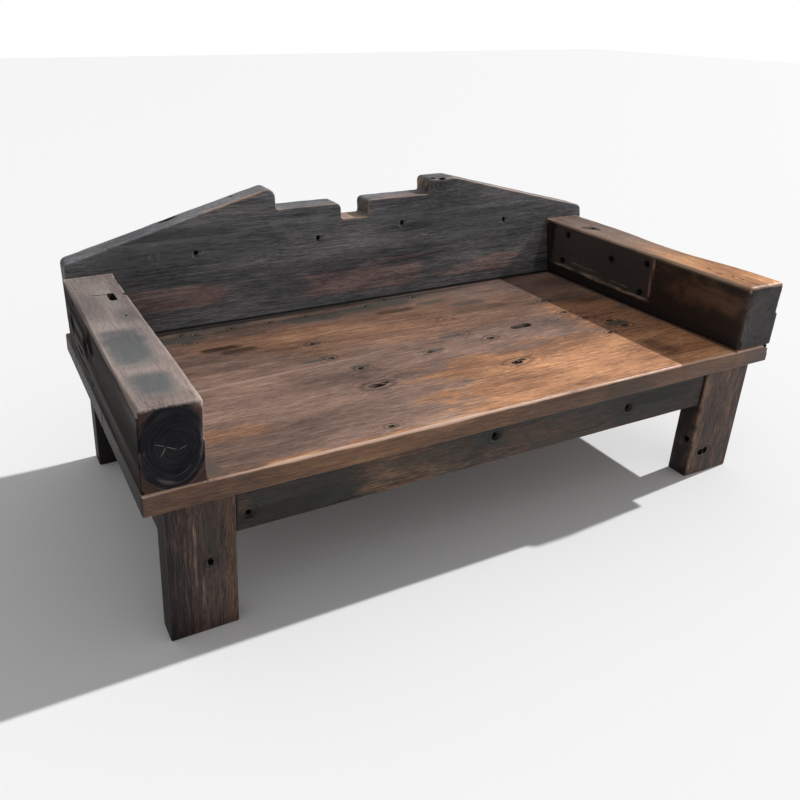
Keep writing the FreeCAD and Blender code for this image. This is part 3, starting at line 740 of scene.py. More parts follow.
SEAT_SMUDGES = [
    (0.55, (-0.530, 0.595, 0), (0.055, 0.015, 1)), (0.50, (-0.495, 0.566, 0), (0.050, 0.012, 1)),
    (0.48, (0.060, 0.652, 0), (0.060, 0.013, 1)), (0.30, (0.314, 0.566, 0), (0.10, 0.022, 1)),
    (0.28, (-0.026, 0.174, 0), (0.10, 0.030, 1)), (0.65, (0.598, 0.118, 0), (0.026, 0.062, 1)),
    (0.28, (-0.60, 0.47, 0), (0.10, 0.02, 1)), (0.30, (0.470, 0.335, 0), (0.045, 0.030, 1)),
    (0.25, (-0.25, 0.715, 0), (0.24, 0.010, 1)), (0.45, (0.617, 0.300, 0), (0.036, 0.014, 1)),
    (0.35, (0.66, 0.52, 0), (0.07, 0.05, 1)), (0.12, (0.10, 0.0, -0.03), (0.10, 0.02, 0.04)),
    (0.14, (0.36, 0.0, -0.03), (0.09, 0.02, 0.04)), (0.35, (-0.05, 0.752, 0), (0.70, 0.007, 1))]


# %% Paint the planks


def marked(rows):
    """Rows of a mark and its half sizes, with the mark as a place in the frame."""
    return [(tuple(marks([mark])[0]), reach) for mark, reach in rows]


def strongest(points, rows, seed, ragged=0.3, soft=0.3):
    """The strongest of several soft patches, stains and painted light and shade alike, each row a strength,
    a centre and a reach.
    """
    return np.maximum.reduce([strength * soft_patch(points, centre, reach, seed + index, ragged, soft)
                              for index, (strength, centre, reach) in enumerate(rows)])


def seat_paint(points, facing):
    """Marks of the seat planks, with painted light and shade: a pool of light at the front right
    and over the right arm's shadow, shade towards the back and left, on all faces but the top,
    and in the creases at the feet of the backrest and the arms.
    """
    x, y, _ = (points - ORIGIN).T
    top = step_up(facing[:, 2], 0.2, 0.8)
    knots = [(x0, y0, 0.0) for x0, y0 in SMALL_KNOTS + OPEN_KNOTS]
    curl = sum(swing(points, knot, "x", 1, 0.045, 0.013) for knot in knots)
    wide_knots = TORN_KNOTS + RINGED_KNOTS
    curl = curl + sum(swing(points, (x0, y0, 0), "x", 1, 0.080, 0.022) for x0, y0 in wide_knots)
    curl = curl + sum(swing(points, (x0, y0, 0), "x", 1, 0.022, 0.007) for x0, y0 in NAIL_HOLES)
    warm = strongest(points, SEAT_WARM, 110)
    grey = strongest(points, SEAT_GREY, 130)
    smudge = strongest(points, SEAT_SMUDGES, 150)
    rear_lines = 0.10 * soft_noise(points, (1.6, 40, 40), 170) * step_up(y, 0.45, 0.75)
    # Painted light: a pool of sunlight towards the front right, and a lift over the strip where the right
    # arm's shadow falls.
    painted_light = 0.80 * np.exp(-((x - 0.40) / 0.46) ** 2 - ((y - 0.05) / 0.26) ** 2)
    painted_light = painted_light + 0.35 * step_up(x, 0.53, 0.62)
    # Painted shade in the crease at the foot of the backrest, wider and ragged towards the left, and along
    # the feet of both arms.
    foot_shade_width = 0.005 + 0.022 * (0.7 + 0.6 * soft_noise(points, (14, 0, 0), 171)) * step_up(-x, -0.2, 0.4)
    foot = step_up(y, SLOPE_FOOT - foot_shade_width - 0.004, SLOPE_FOOT - foot_shade_width) * (np.abs(x) < 0.77)
    arm_foot_shade = np.exp(-((np.abs(x - 0.001) - 0.7655) / 0.0045) ** 2) * (y < 0.775)
    seam_line = np.exp(-((y - seam(FRONT_SEAM, x + SEAT_LENGTH / 2)) / 0.0035) ** 2)
    # The painted shade of those creases, on the top faces.
    dirt = 0.95 * np.maximum(foot, arm_foot_shade) * top
    # Painted shade on every face of the planks but the top.
    painted_edge_shade = -0.60 * (1 - top) * (step_up(-y, -0.02, 0.0) + step_up(y, 0.0, 0.02))
    # Painted shade: the top grows darker towards the back and a little towards the left.
    rear = -0.24 * step_up(y, 0.30, 0.72) - 0.04 * step_up(y, 0.72, 0.75)
    left = -0.06 * step_up(-x, 0.1, 0.5)
    light = (painted_light + rear + left) * top - smudge + rear_lines + painted_edge_shade
    light = light - 0.10 * seam_line * step_up(x, -0.1, 0.3)
    ends = -0.25 * step_up(np.abs(x), SEAT_LENGTH / 2 - 0.004, SEAT_LENGTH / 2)
    return {"dirt": np.clip(dirt, 0, 1), "swirl": curl, "grey": grey * np.maximum(top, 0.6), "warm": warm,
            "light": light + ends, "rim": np.zeros(len(points)),
            "worn_line": 0.55 * seam_line * step_up(-x, -0.1, 0.4) * top}


front_plank = plank("plank_front", lambda x: x * 0, lambda x: seam(FRONT_SEAM, x), SEAT_EDGE, SEAM_EDGE, 21)
middle_plank = plank("plank_middle", lambda x: seam(FRONT_SEAM, x, SEAM_GAP), lambda x: seam(REAR_SEAM, x),
                     SEAM_EDGE, SEAM_EDGE, 22)
rear_plank = plank("plank_rear", lambda x: seam(REAR_SEAM, x, SEAM_GAP), lambda x: x * 0 + SEAT_DEPTH,
                   SEAM_EDGE, SEAT_EDGE * 0.6, 23)
print("planks", [len(p.data.polygons) for p in (front_plank, middle_plank, rear_plank)], "faces")

# %% [markdown]
# ## Holes that came with the timber
#
# Nail holes, knots and torn spots repeat all over the bench, so one Geometry Nodes tree makes
# all of them: a small ball on every point, scaled by the size that the point carries, with
# its skin pushed about by noise. The balls are cutters. They leave a bowl, as a loose knot
# does when it falls out.

# %% Small helpers for Geometry Nodes
RAW = bpy.data.materials.new("raw_timber")


def new_tree(name, inputs):
    """A node group with a geometry input, one socket for each named size and a geometry output."""
    tree = bpy.data.node_groups.new(name, "GeometryNodeTree")
    face = tree.interface
    face.new_socket(name="Geometry", in_out="INPUT", socket_type="NodeSocketGeometry")
    for label, kind in inputs.items():
        face.new_socket(name=label, in_out="INPUT", socket_type="NodeSocket" + kind)
    face.new_socket(name="Geometry", in_out="OUTPUT", socket_type="NodeSocketGeometry")
    bench = Bench(tree)
    entry = bench.put("NodeGroupInput")
    return tree, bench, lambda label: entry.other(label)


def run_tree(piece, tree, values):
    """Run a tree on a piece with values for its named inputs and keep the result as its mesh."""
    work = piece.modifiers.new(tree.name, "NODES")
    work.node_group = tree
    values = {**values, "Material": RAW}
    for item in tree.interface.items_tree:
        if item.in_out == "INPUT" and item.name in values:
            work[item.identifier] = values[item.name]
    take_mesh(piece)
    return piece


def points_piece(name, rows, values):
    """Bare points with one vector or number each, for a tree to work on."""
    mesh = bpy.data.meshes.new(name)
    mesh.from_pydata([tuple(row) for row in rows], [], [])
    for label, numbers in values.items():
        numbers = np.asarray(numbers, np.float32)
        kind, field = ("FLOAT_VECTOR", "vector") if numbers.ndim == 2 else ("FLOAT", "value")
        mesh.attributes.new(label, kind, "POINT").data.foreach_set(field, numbers.ravel())
    return show(name, mesh)


# %% [markdown]
# ## The tree for pits
#
# A ball is copied onto every point, made real, and its skin is pushed about by noise in four
# dimensions. The fourth is the seed, so two rows of pits never look alike. Boring each hole by
# hand with its own ring of points would take many more lines and look more even.

# %% A tree for pits
def pit_tree():
    """Ragged balls on the points of a mesh, each as large as its point says."""
    inputs = {"Ragged": "Float", "Seed": "Float", "Hollow": "Float", "Material": "Material"}
    tree, b, entry = new_tree("pits", inputs)
    ball = b.put("GeometryNodeMeshIcoSphere", {}, {"Radius": 1.0, "Subdivisions": 4})
    size = b.put("GeometryNodeInputNamedAttribute", {"data_type": "FLOAT_VECTOR"}, {"Name": "size"})
    copies = {"Points": entry("Geometry"), "Instance": ball, "Scale": size}
    on_points = b.put("GeometryNodeInstanceOnPoints", {}, copies)
    real = b.put("GeometryNodeRealizeInstances", {}, {"Geometry": on_points})
    place = b.put("GeometryNodeInputPosition")
    push = b.put("ShaderNodeTexNoise", {"noise_dimensions": "4D"},
                 {"Vector": place, "W": entry("Seed"), "Scale": 160.0, "Detail": 2.0}, output="Color")
    push = b.put("ShaderNodeVectorMath", {"operation": "SUBTRACT"}, {0: push, 1: (0.5, 0.5, 0.5)})
    push = b.put("ShaderNodeVectorMath", {"operation": "SCALE"}, {0: push, "Scale": entry("Ragged")})
    moved = b.put("GeometryNodeSetPosition", {}, {"Geometry": real, "Offset": push})
    hollow = b.put("GeometryNodeStoreNamedAttribute", {"data_type": "FLOAT", "domain": "FACE"},
                   {"Geometry": moved, "Name": "hollow", "Value": entry("Hollow")})
    b.finish_tree(hollow, entry("Material"))
    return tree


PITS = pit_tree()
print(PITS.name, "tree with", len(PITS.nodes), "nodes")


def pits(name, rows, seed, ragged, hollow=1.0):
    """Cutters for pits, each row a place on the bench and its half sizes along x, y and z."""
    places = marks([row[0] for row in rows])
    piece = points_piece(name, places, {"size": [row[1] for row in rows]})
    return run_tree(piece, PITS, {"Ragged": ragged, "Seed": seed, "Hollow": hollow})


# %% [markdown]
# ## Drying cracks
#
# A crack opens along the grain, widest in its middle, and runs out to nothing. The tree turns
# each drawn line into a curve, lets it wander, and gives it a thin tall section that shrinks
# towards its ends. The same tree serves every timber, because a crack follows a path.

# %% A tree for cracks
def crack_tree():
    """Thin wandering wedges along the edges of a mesh."""
    inputs = {"Out": "Vector", "Width": "Float", "Depth": "Float", "Bend": "Float", "Seed": "Float",
              "Hollow": "Float", "Material": "Material"}
    tree, b, entry = new_tree("cracks", inputs)
    curve = b.put("GeometryNodeMeshToCurve", {}, {"Mesh": entry("Geometry")})
    curve = b.put("GeometryNodeResampleCurve", {"mode": "LENGTH"}, {"Curve": curve, "Length": 0.006})
    share = b.put("GeometryNodeSplineParameter")
    arch = b.put("ShaderNodeMath", {"operation": "SINE"}, {0: share * 3.1416})
    place = b.put("GeometryNodeInputPosition")
    bend = b.put("ShaderNodeTexNoise", {"noise_dimensions": "4D"},
                 {"Vector": place, "W": entry("Seed"), "Scale": 14.0, "Detail": 3.0}, output="Color")
    bend = b.put("ShaderNodeVectorMath", {"operation": "SUBTRACT"}, {0: bend, 1: (0.5, 0.5, 0.5)})
    aside = b.put("ShaderNodeVectorMath", {"operation": "CROSS_PRODUCT"}, {0: bend, 1: entry("Out")})
    aside = b.put("ShaderNodeVectorMath", {"operation": "SCALE"}, {0: aside, "Scale": entry("Bend")})
    curve = b.put("GeometryNodeSetPosition", {}, {"Geometry": curve, "Offset": aside})
    curve = b.put("GeometryNodeSetCurveNormal", {"mode": "FREE"}, {"Curve": curve, "Normal": entry("Out")})
    rough = b.put("ShaderNodeTexNoise", {"noise_dimensions": "4D"},
                  {"Vector": place, "W": entry("Seed") + 5.0, "Scale": 60.0, "Detail": 1.0})
    open_share = (arch ** 0.6) * (0.35 + rough * 1.1) + 0.04
    curve = b.put("GeometryNodeSetCurveRadius", {}, {"Curve": curve, "Radius": open_share})
    four_sides = {"Resolution": 4, "Radius": 1.0}
    section = b.put("GeometryNodeCurvePrimitiveCircle", {"mode": "RADIUS"}, four_sides)
    scale = b.join(entry("Depth"), entry("Width") * 0.5, 1.0)
    section = b.put("GeometryNodeTransform", {}, {"Geometry": section, "Scale": scale})
    sweep = {"Curve": curve, "Profile Curve": section, "Fill Caps": True,
             "Scale": b.put("GeometryNodeInputRadius")}
    solid = b.put("GeometryNodeCurveToMesh", {}, sweep)
    hollow = b.put("GeometryNodeStoreNamedAttribute", {"data_type": "FLOAT", "domain": "FACE"},
                   {"Geometry": solid, "Name": "hollow", "Value": entry("Hollow")})
    b.finish_tree(hollow, entry("Material"))
    return tree


CRACKS = crack_tree()
print(CRACKS.name, "tree with", len(CRACKS.nodes), "nodes")


def cracks(name, rows, out, width, depth, bend, seed=0.0, hollow=1.0):
    """Cutters along drawn lines, each row the two ends of a crack on the bench."""
    mesh = bpy.data.meshes.new(name)
    ends = marks([end for row in rows for end in row])
    mesh.from_pydata(ends.tolist(), [(2 * index, 2 * index + 1) for index in range(len(rows))], [])
    sizes = {"Out": out, "Width": width, "Depth": depth, "Bend": bend, "Seed": seed, "Hollow": hollow}
    return run_tree(show(name, mesh), CRACKS, sizes)


OUTSIDE = 0.006


def bore(name, centre, way, radius, reach, ragged=0.03, hollow=1.0, count=32):
    """A closed round cutter on a mark of the bench, from outside the face to its depth."""
    way = np.array(way, float)
    side = np.cross(way, (0.0, 0.0, 1.0) if abs(way[2]) < 0.9 else (1.0, 0.0, 0.0))
    side = side / np.linalg.norm(side)
    up = np.cross(side, way)
    start = marks([centre])[0] + way * OUTSIDE
    ring = ring_points(start, side, up, 2 * radius, 2 * radius, count, 2.0, ragged, int(radius * 1e5))
    return prism(name, ring, -way, reach + OUTSIDE, 0.0, hollow)


# %% [markdown]
# ## Holes in the seat
#
# The nail holes are small and sharp and the knots are shallow bowls, two for each torn one.
# The mortise slot is two rounded boxes side by side. Timber that is broken away at a corner
# is cut as a knot is. Faces that the sun reaches inside a hole keep a share of their light
# colour, so hollow is less than one there.

# %% Cut the seat
nail_pits = pits("nail_pits", [((x, y, 0.0), (0.0050, 0.0042, 0.013)) for x, y in NAIL_HOLES]
                 + [((-0.524, 0.757, 0.0), (0.013, 0.003, 0.010))], 1.0, 0.003, 0.75)
cut(rear_plank, [nail_pits])


def seat_pits(name, first, last, seed):
    """Pits for the knots of one plank, which lies between two depths."""
    rows = [((x, y, 0.001), (0.0095, 0.0058, 0.007)) for x, y in SMALL_KNOTS if first < y < last]
    rows += [((x, y, 0.001), (0.016, 0.0075, 0.007)) for x, y in OPEN_KNOTS if first < y < last]
    return pits(name, rows, seed, 0.006, 0.6)


torn_pits = pits("torn_pits", [
    ((-0.252, 0.227, 0.002), (0.027, 0.010, 0.010)), ((-0.224, 0.233, 0.002), (0.014, 0.006, 0.008)),
    ((0.160, 0.194, 0.002), (0.019, 0.009, 0.009)), ((0.184, 0.204, 0.002), (0.013, 0.007, 0.007))],
    3.0, 0.011, 0.6)
slot = []
for place, width, seed, low, hollow in (((0.320, 0.3925, 0.004), 0.021, 4, -0.0618, 0.8),
                                        ((0.350, 0.3945, 0.0042), 0.027, 5, -0.0622, 0.7)):
    lobe = ring_points(marks([place])[0], (1, 0, 0), (0, 1, 0), 0.042, width, 30, 2.6, 0.06, seed)
    slot.append(prism("seat_slot", lobe, UP, low, 0.0, hollow))
bite = pits("bite", [((0.902, 0.004, -0.006), (0.016, 0.012, 0.008)),
                     ((0.884, 0.001, -0.002), (0.008, 0.006, 0.004))], 4.0, 0.008)
cut(front_plank, [seat_pits("front_knots", 0.0, 0.375, 2.0), torn_pits, bite] + slot)
cut(middle_plank, [seat_pits("middle_knots", 0.40, 0.60, 5.0)])
print("seat cut", [len(p.data.polygons) for p in (front_plank, middle_plank, rear_plank)])

# %% [markdown]
# ## The arms
#
# Each arm is a length of track beam. The right one still shows where a rail chair sat: a
# shallow black seat with spike holes on its inner face, and its outer side is worn hollow.
# The left one has an old slot and a saw cut in its top. The rear ends are cut to the slope
# of the backrest, so the place map stretches each beam a little more the higher it goes.

# %% Arm beams
ARM_LEFT_LOW, ARM_LEFT_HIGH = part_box("arm_left")
ARM_RIGHT_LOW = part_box("arm_right")[0]
ARM_WIDTH = ARM_LEFT_HIGH.x - ARM_LEFT_LOW.x
ARM_HEIGHT = ARM_LEFT_HIGH.z - ARM_LEFT_LOW.z
ARM_EDGE = 0.012
HOLLOW_DEPTH = 0.024
HOLLOW_SHARES = (0.1, 0.45, 0.84)
CHAIR_Y = (0.328, 0.758)
CHAIR_Z = (0.040, 0.176)
CHAIR_DEPTH = 0.004
DISC_MIDDLE = (-0.832, 0.094)
DISC_REACH = (0.063, 0.086)


def hollow_side(y):
    """Depth of the worn hollow in the right arm's outer side."""
    start, deepest, end = [share * SLOPE_FOOT for share in HOLLOW_SHARES]
    t = np.clip(np.where(y < deepest, (y - start) / (deepest - start), (end - y) / (end - deepest)), 0, 1)
    return HOLLOW_DEPTH * np.where(t < 0.5, 2 * t * t, 1 - 2 * (1 - t) ** 2)


def in_chair_seat(points, soft, wider=0.0):
    """1 inside the rail chair's seat on the inner face of the right arm, or a wider box round it."""
    share = 1.0
    for axis, (low, high) in ((1, CHAIR_Y), (2, CHAIR_Z)):
        place = points[:, axis]
        share = share * step_up(place, low - wider, low - wider + soft)
        share = share * step_up(-place, -high - wider, -high - wider + soft)
    return share


def arm(name, low, is_right, seed, paint):
    """One arm beam, aged."""
    def place(points):
        y = points[:, 1] * (1 + points[:, 2] * math.tan(LEAN) / SLOPE_FOOT)
        x = points[:, 0] - (hollow_side(y) * points[:, 0] / ARM_WIDTH if is_right else 0)
        return np.column_stack([x, y, points[:, 2]]) + np.array(low)

    grain = weathered("y", 0.0005, seed)

    def relief(points, facing):
        depth = grain(points, facing)
        ends = step_up(np.abs(facing[:, 1]), 0.6, 0.9)
        rough = 0.5 + 0.5 * soft_noise(points, (90, 90, 90), seed + 6)
        depth = depth + ends * 0.0008 * rough
        if is_right:
            inner = step_up(-facing[:, 0], 0.8, 0.95)
            depth = depth + CHAIR_DEPTH * inner * in_chair_seat(points, 0.0015)
        return depth

    def radius(points, size):
        base = np.full(len(points), ARM_EDGE * 0.75)
        low_arris = points[:, 2] < size[2] / 2
        inner = points[:, 0] < size[0] / 2 if is_right else points[:, 0] > size[0] / 2
        base = np.where(low_arris, base * 0.35, base)
        if is_right:
            base = base * np.where(inner, np.where(low_arris, 2.4, 1.25), 1.0)
        front = np.exp(-points[:, 1] / 0.05)
        base = base * (1 + (0.5 if is_right else 0.2) * front)
        rear = points[:, 1] > size[1] * 0.97
        return np.where(rear, 0.0015, base)

    def rub(flat, size, edge):
        """The top arrises are rubbed pale, the lower ones are not."""
        return even_rub(flat, size, edge) * (1 - step_up(size[2] - flat[:, 2], edge, 2.5 * edge))

    extra = [(), (), ()]
    if is_right:
        borders = np.array([-0.0004, 0.0, 0.0008, 0.0015, 0.0022])
        extra[1] = np.concatenate([CHAIR_Y[0] + borders, CHAIR_Y[1] - borders])
        extra[2] = np.concatenate([CHAIR_Z[0] + borders, CHAIR_Z[1] - borders])
    size = (ARM_WIDTH, SLOPE_FOOT, ARM_HEIGHT)
    return timber(name, size, (0.003, 0.007, 0.003), ARM_EDGE, "y", relief, place, paint, extra, radius,
                  rub)


# %% [markdown]
# ## Marks on the arms
#
# The outer side of the left arm faces away from the key light and gets painted shade, in
# uneven streaks and darker towards the bottom, and a black disc fills its front end. The
# right arm is warm on top towards the front, and its inner face, also turned from the key
# light, gets painted shade with dirt, most of all at its foot. Where its rail chair sat it
# is black, with a few torn pale fibres.

# %% Marks of the left arm
DARK_PATCHES = [(1.0, (-0.842, 0.292, 0.185), (0.050, 0.100, 0.03)),
                (0.9, (-0.838, 0.098, 0.185), (0.046, 0.060, 0.03)),
                (0.5, (-0.800, 0.480, 0.185), (0.030, 0.050, 0.03)),
                (0.35, (-0.870, 0.560, 0.185), (0.030, 0.120, 0.03))]
OUTER_HOLES = [((-0.9, 0.519, 0.108), 2.5), ((-0.9, 0.45, 0.134), 2.5), ((-0.9, 0.705, 0.10), 2.0)]


def left_arm_paint(points, facing):
    """Marks of the left arm: dark patches on top, painted shade on its outer side, a darker painted sheen
    just behind the front of its top, a black disc on its end.
    """
    x, y, z = (points - ORIGIN).T
    top = step_up(facing[:, 2], 0.5, 0.9)
    outer = step_up(-facing[:, 0], 0.3, 0.8)
    inner = step_up(facing[:, 0], 0.5, 0.9)
    patch = strongest(points, DARK_PATCHES, 31, 0.14, 0.6)
    disc_x, disc_z = x - DISC_MIDDLE[0], z - DISC_MIDDLE[1]
    disc = np.hypot(disc_x / DISC_REACH[0], disc_z / DISC_REACH[1])
    front = step_up(-facing[:, 1], 0.5, 0.9)
    rim = step_up(disc, 0.90, 1.25) * front
    chamfer = np.exp(-((z - 0.181) / 0.006) ** 2) * step_up(-y, -0.016, -0.004)
    chamfer = chamfer * step_up(facing[:, 2], 0.1, 0.5)
    corner = np.exp(-((z - 0.178) / 0.010) ** 2 - ((x + 0.771) / 0.012) ** 2) * step_up(-y, -0.03, -0.004)
    inner_line = np.exp(-((x + 0.7665) / 0.002) ** 2) * step_up(-y, -0.010, -0.002) * step_up(z, 0.02, 0.03)
    shade_end = -0.35 * front * (1 - chamfer)
    # Painted shade on the outer side, which faces away from the key light: in uneven streaks, and darker
    # towards the bottom.
    dirt = 0.3 * outer * (0.5 + 0.5 * soft_noise(points, (20, 3, 40), 34))
    dirt = dirt + 0.5 * outer * step_up(-z, -0.07, 0.02)
    spots = rings_of_dirt(points, OUTER_HOLES, 0.010, 0.012)
    arris = np.exp(-((y - 0.015) / 0.0025) ** 2) * top
    turn = np.arctan2(disc_z, disc_x)
    arcs = step_up(soft_noise(np.column_stack([disc * 20, turn * 1.4, disc * 0]), (1, 1, 1), 37), 0.1, 0.5)
    arcs = arcs * front * step_up(disc, 0.62, 0.80) * step_up(-disc, -1.25, -1.05)
    arcs = arcs * (1 - 0.8 * step_up(z, 0.09, 0.13))
    # More painted shade on the outer side. On top: darker over the patches and towards the back, and a
    # darker painted sheen just behind the front end.
    light = (0.22 * soft_noise(points, (30, 3, 45), 36) - 0.68) * outer - 0.42 * inner - 0.08 * chamfer
    light = light - top * (0.14 * patch + 0.36 * step_up(y, 0.24, 0.55) + 0.16 * step_up(-y, -0.06, -0.02))
    curl = swing(points, (-0.79, 0.63, 0.185), "y", 0, 0.05, 0.02)
    return {"dirt": np.clip(dirt + spots, 0, 1), "swirl": curl,
            "grey": np.clip(0.9 * patch * top + 0.5 * outer, 0, 1),
            "warm": 0.35 * top + 0.8 * corner + 0.5 * inner + 0.3 * front,
            "light": light + shade_end, "rim": rim,
            "worn_line": np.clip(0.5 * inner_line + 0.7 * corner + 0.4 * arris + 0.28 * arcs, 0, 1)}


# %% Marks of the right arm
TORN_FIBRES = [(1.0, 0.700, 0.042, 0.042, 0.0045), (1.0, 0.548, 0.041, 0.065, 0.0050),
               (1.0, 0.428, 0.038, 0.095, 0.0040), (0.7, 0.62, 0.062, 0.06, 0.0035),
               (0.5, 0.45, 0.055, 0.05, 0.0018)]
TOP_DENTS = [((0.818, 0.642, 0.185), 1.6), ((0.824, 0.622, 0.185), 0.8), ((0.802, 0.655, 0.185), 1.2)]


def right_arm_paint(points, facing):
    """Marks of the right arm: warm on top towards the front, black in the rail chair's seat, painted shade
    over its inner face and its foot, and a painted highlight on its top inner arris.
    """
    x, y, z = (points - ORIGIN).T
    inner = step_up(-facing[:, 0], 0.35, 0.85)
    top = step_up(facing[:, 2], 0.3, 0.8)
    end = step_up(-facing[:, 1], 0.5, 0.9)
    outer = step_up(facing[:, 0], 0.5, 0.9)
    local = points - np.array(ARM_RIGHT_LOW)
    near_inner = step_up(-x, -0.785, -0.775)
    chair = in_chair_seat(local, 0.002, 0.004) * near_inner
    torn = strongest(points, [(strength, (0.766, along, high), (0.02, reach, width))
                              for strength, along, high, reach, width in TORN_FIBRES], 41) * near_inner
    torn = torn * (0.30 + 0.70 * step_up(soft_noise(points, (60, 40, 260), 49), -0.2, 0.2))
    front_line = np.exp(-((y - CHAIR_Y[0] + 0.002) / 0.0028) ** 2) * near_inner
    front_line = front_line * step_up(z, 0.045, 0.055) * step_up(-z, -0.176, -0.165)
    clouds = 0.6 * soft_patch(points, (0.766, 0.14, 0.125), (0.02, 0.13, 0.035), 47, 0.5, 0.6) * inner
    dents = rings_of_dirt(points, TOP_DENTS, 0.014, 0.013)
    # Painted shade at the foot of the inner face, where it meets the seat.
    deep = step_up(-z, -0.034, -0.022) * near_inner
    # The top inner arris: rubbed pale, with a painted highlight.
    pale = step_up(z, 0.168, 0.178) * step_up(-x, -0.782, -0.770) * (1 - 0.5 * step_up(y, 0.3, 0.7))
    # Dirt and painted shade over the inner face, which is turned from the key light; torn fibres, clouds,
    # the chair's front wall and the arris stay lighter.
    dirt = 0.64 * inner * (1 - chair) + 0.8 * deep - 1.4 * torn
    dirt = np.clip(dirt - 0.4 * clouds - 0.9 * front_line - 0.5 * pale, 0, 1)
    rear = step_up(y, 0.25, 0.70)
    # Painted shade over the whole inner face, less of it in the rail chair's seat.
    shade = 0.88 - chair * (0.22 + 0.14 * step_up(y, 0.42, 0.66))
    light = -shade * inner * (1 - np.maximum(torn, front_line))
    light = light + 0.10 * torn + 0.30 * clouds - 0.10 * front_line
    light = light + top * (0.16 * step_up(-y, -0.14, -0.03) - 0.16 * rear) - 0.35 * outer
    shaded = -0.22 * end * step_up(x, 0.80, 0.90) - 0.22 * end * step_up(-z, -0.09, 0.0) + 0.10 * end
    speckle = step_up(soft_noise(points, (170, 110, 170), 48), 0.25, 0.6) * step_up(-y, -0.22, -0.04) * top
    curl = swing(points, (0.818, 0.60, 0.185), "y", 0, 0.06, 0.02)
    return {"dirt": np.clip(dirt + dents, 0, 1), "swirl": curl,
            "grey": np.clip(0.5 * pale + 0.25 * rear * top + 1.3 * chair, 0, 1.3),
            "warm": 1.1 * step_up(-y, -0.60, -0.10) * top + 0.5 * inner,
            "light": light + shaded + 0.45 * speckle, "rim": 0.35 * step_up(-x, -0.79, -0.77) * end,
            "worn_line": 0.30 * pale + 0.30 * front_line + 0.40 * torn}


# %% Both arms
arm_left = arm("beam_left", ARM_LEFT_LOW, False, 51, left_arm_paint)
arm_right = arm("beam_right", ARM_RIGHT_LOW, True, 61, right_arm_paint)
print("arms", [len(p.data.polygons) for p in (arm_left, arm_right)])

# %% [markdown]
# ## Holes in the arms
#
# Spikes once held a chair to the right beam, and a saw left a cut in the left one. The left
# beam also has a long slit that turns a corner on its outer side, which is two cracks that
# meet. The check in its end shows pale splinters, so its walls get the value hollow below zero.

# %% Cut the arms
SLOT_PLACE = marks([(-0.8075, 0.6205, 0.189)])[0]
slot_ring = ring_points(SLOT_PLACE, (0, 1, 0), (1, 0, 0), 0.056, 0.019, 36, 5.0, 0.03, 5)
left_slot = prism("left_slot", slot_ring, UP, -0.070, 0.0)
saw_lines = marks([(-0.851, 0.6462, 0.190), (-0.816, 0.6392, 0.190), (-0.816, 0.6422, 0.190),
                   (-0.851, 0.6492, 0.190)])
saw_cut = prism("saw_cut", saw_lines, UP, -0.030, 0.0)
left_bores = [bore("left_bore", (-0.9, 0.667, 0.166), TO_THE_LEFT, 0.008, 0.05),
              bore("left_bore", (-0.9, 0.459, 0.030), TO_THE_LEFT, 0.008, 0.05)]
left_pits = pits("left_pits", [
    ((-0.902, 0.519, 0.108), (0.014, 0.024, 0.009)), ((-0.902, 0.478, 0.134), (0.012, 0.018, 0.008)),
    ((-0.902, 0.425, 0.131), (0.012, 0.022, 0.006)), ((-0.902, 0.600, 0.060), (0.010, 0.040, 0.006)),
    ((-0.766, 0.631, 0.186), (0.012, 0.010, 0.008)), ((-0.803, 0.480, 0.186), (0.003, 0.008, 0.002)),
    ((-0.899, 0.002, 0.006), (0.006, 0.006, 0.006))], 6.0, 0.007)
left_slit = cracks("left_slit", [((-0.9, 0.722, 0.158), (-0.9, 0.706, 0.028)),
                                 ((-0.9, 0.706, 0.034), (-0.9, 0.470, 0.040))],
                   TO_THE_LEFT, 0.0085, 0.020, 0.010)
left_end_cracks = cracks("left_end_cracks", [
    ((-0.869, 0, 0.107), (-0.845, 0, 0.097)), ((-0.847, 0, 0.098), (-0.822, 0, 0.084)),
    ((-0.824, 0, 0.084), (-0.802, 0, 0.093)), ((-0.845, 0, 0.097), (-0.858, 0, 0.074))],
    FORWARD, 0.0015, 0.004, 0.010, 2.0, -1.0)
cut(arm_left, [left_slot, saw_cut] + left_bores + [left_pits, left_slit, left_end_cracks])

SPIKE_HOLES = [(0.6978, 0.1515), (0.709, 0.0577), (0.4949, 0.1243), (0.3538, 0.1488), (0.3624, 0.0536)]
spike_bores = [bore("spike_bore", (0.766, y, z), TO_THE_LEFT, 0.010, 0.056, 0.05) for y, z in SPIKE_HOLES]
top_bore = bore("top_bore", (0.820, 0.640, 0.185), UP, 0.008, 0.040, 0.06)
right_pits = pits("right_pits", [
    ((0.824, 0.618, 0.185), (0.004, 0.006, 0.005)), ((0.809, 0.172, 0.186), (0.004, 0.011, 0.003)),
    ((0.796, 0.128, 0.186), (0.004, 0.009, 0.003)), ((0.809, 0.094, 0.186), (0.003, 0.008, 0.003)),
    ((0.812, 0.068, 0.186), (0.003, 0.008, 0.003))], 7.0, 0.003, 0.5)
right_end_cracks = cracks("right_end_cracks", [((0.846, 0, 0.098), (0.872, 0, 0.130))],
                          FORWARD, 0.0022, 0.006, 0.01, 6.0)
cut(arm_right, spike_bores + [top_bore, right_pits, right_end_cracks])
print("arms cut", [len(p.data.polygons) for p in (arm_left, arm_right)])

# %% [markdown]
# ## The backrest
#
# The backrest is one slab, sawn to a stepped crest and set leaning. Its outline is drawn once
# as corners with a radius each. The mesh then runs in columns from the foot up to that
# outline: near the crest the columns stand square to it, so its arris rounds evenly round
# every step, and further down they fan out to the foot.

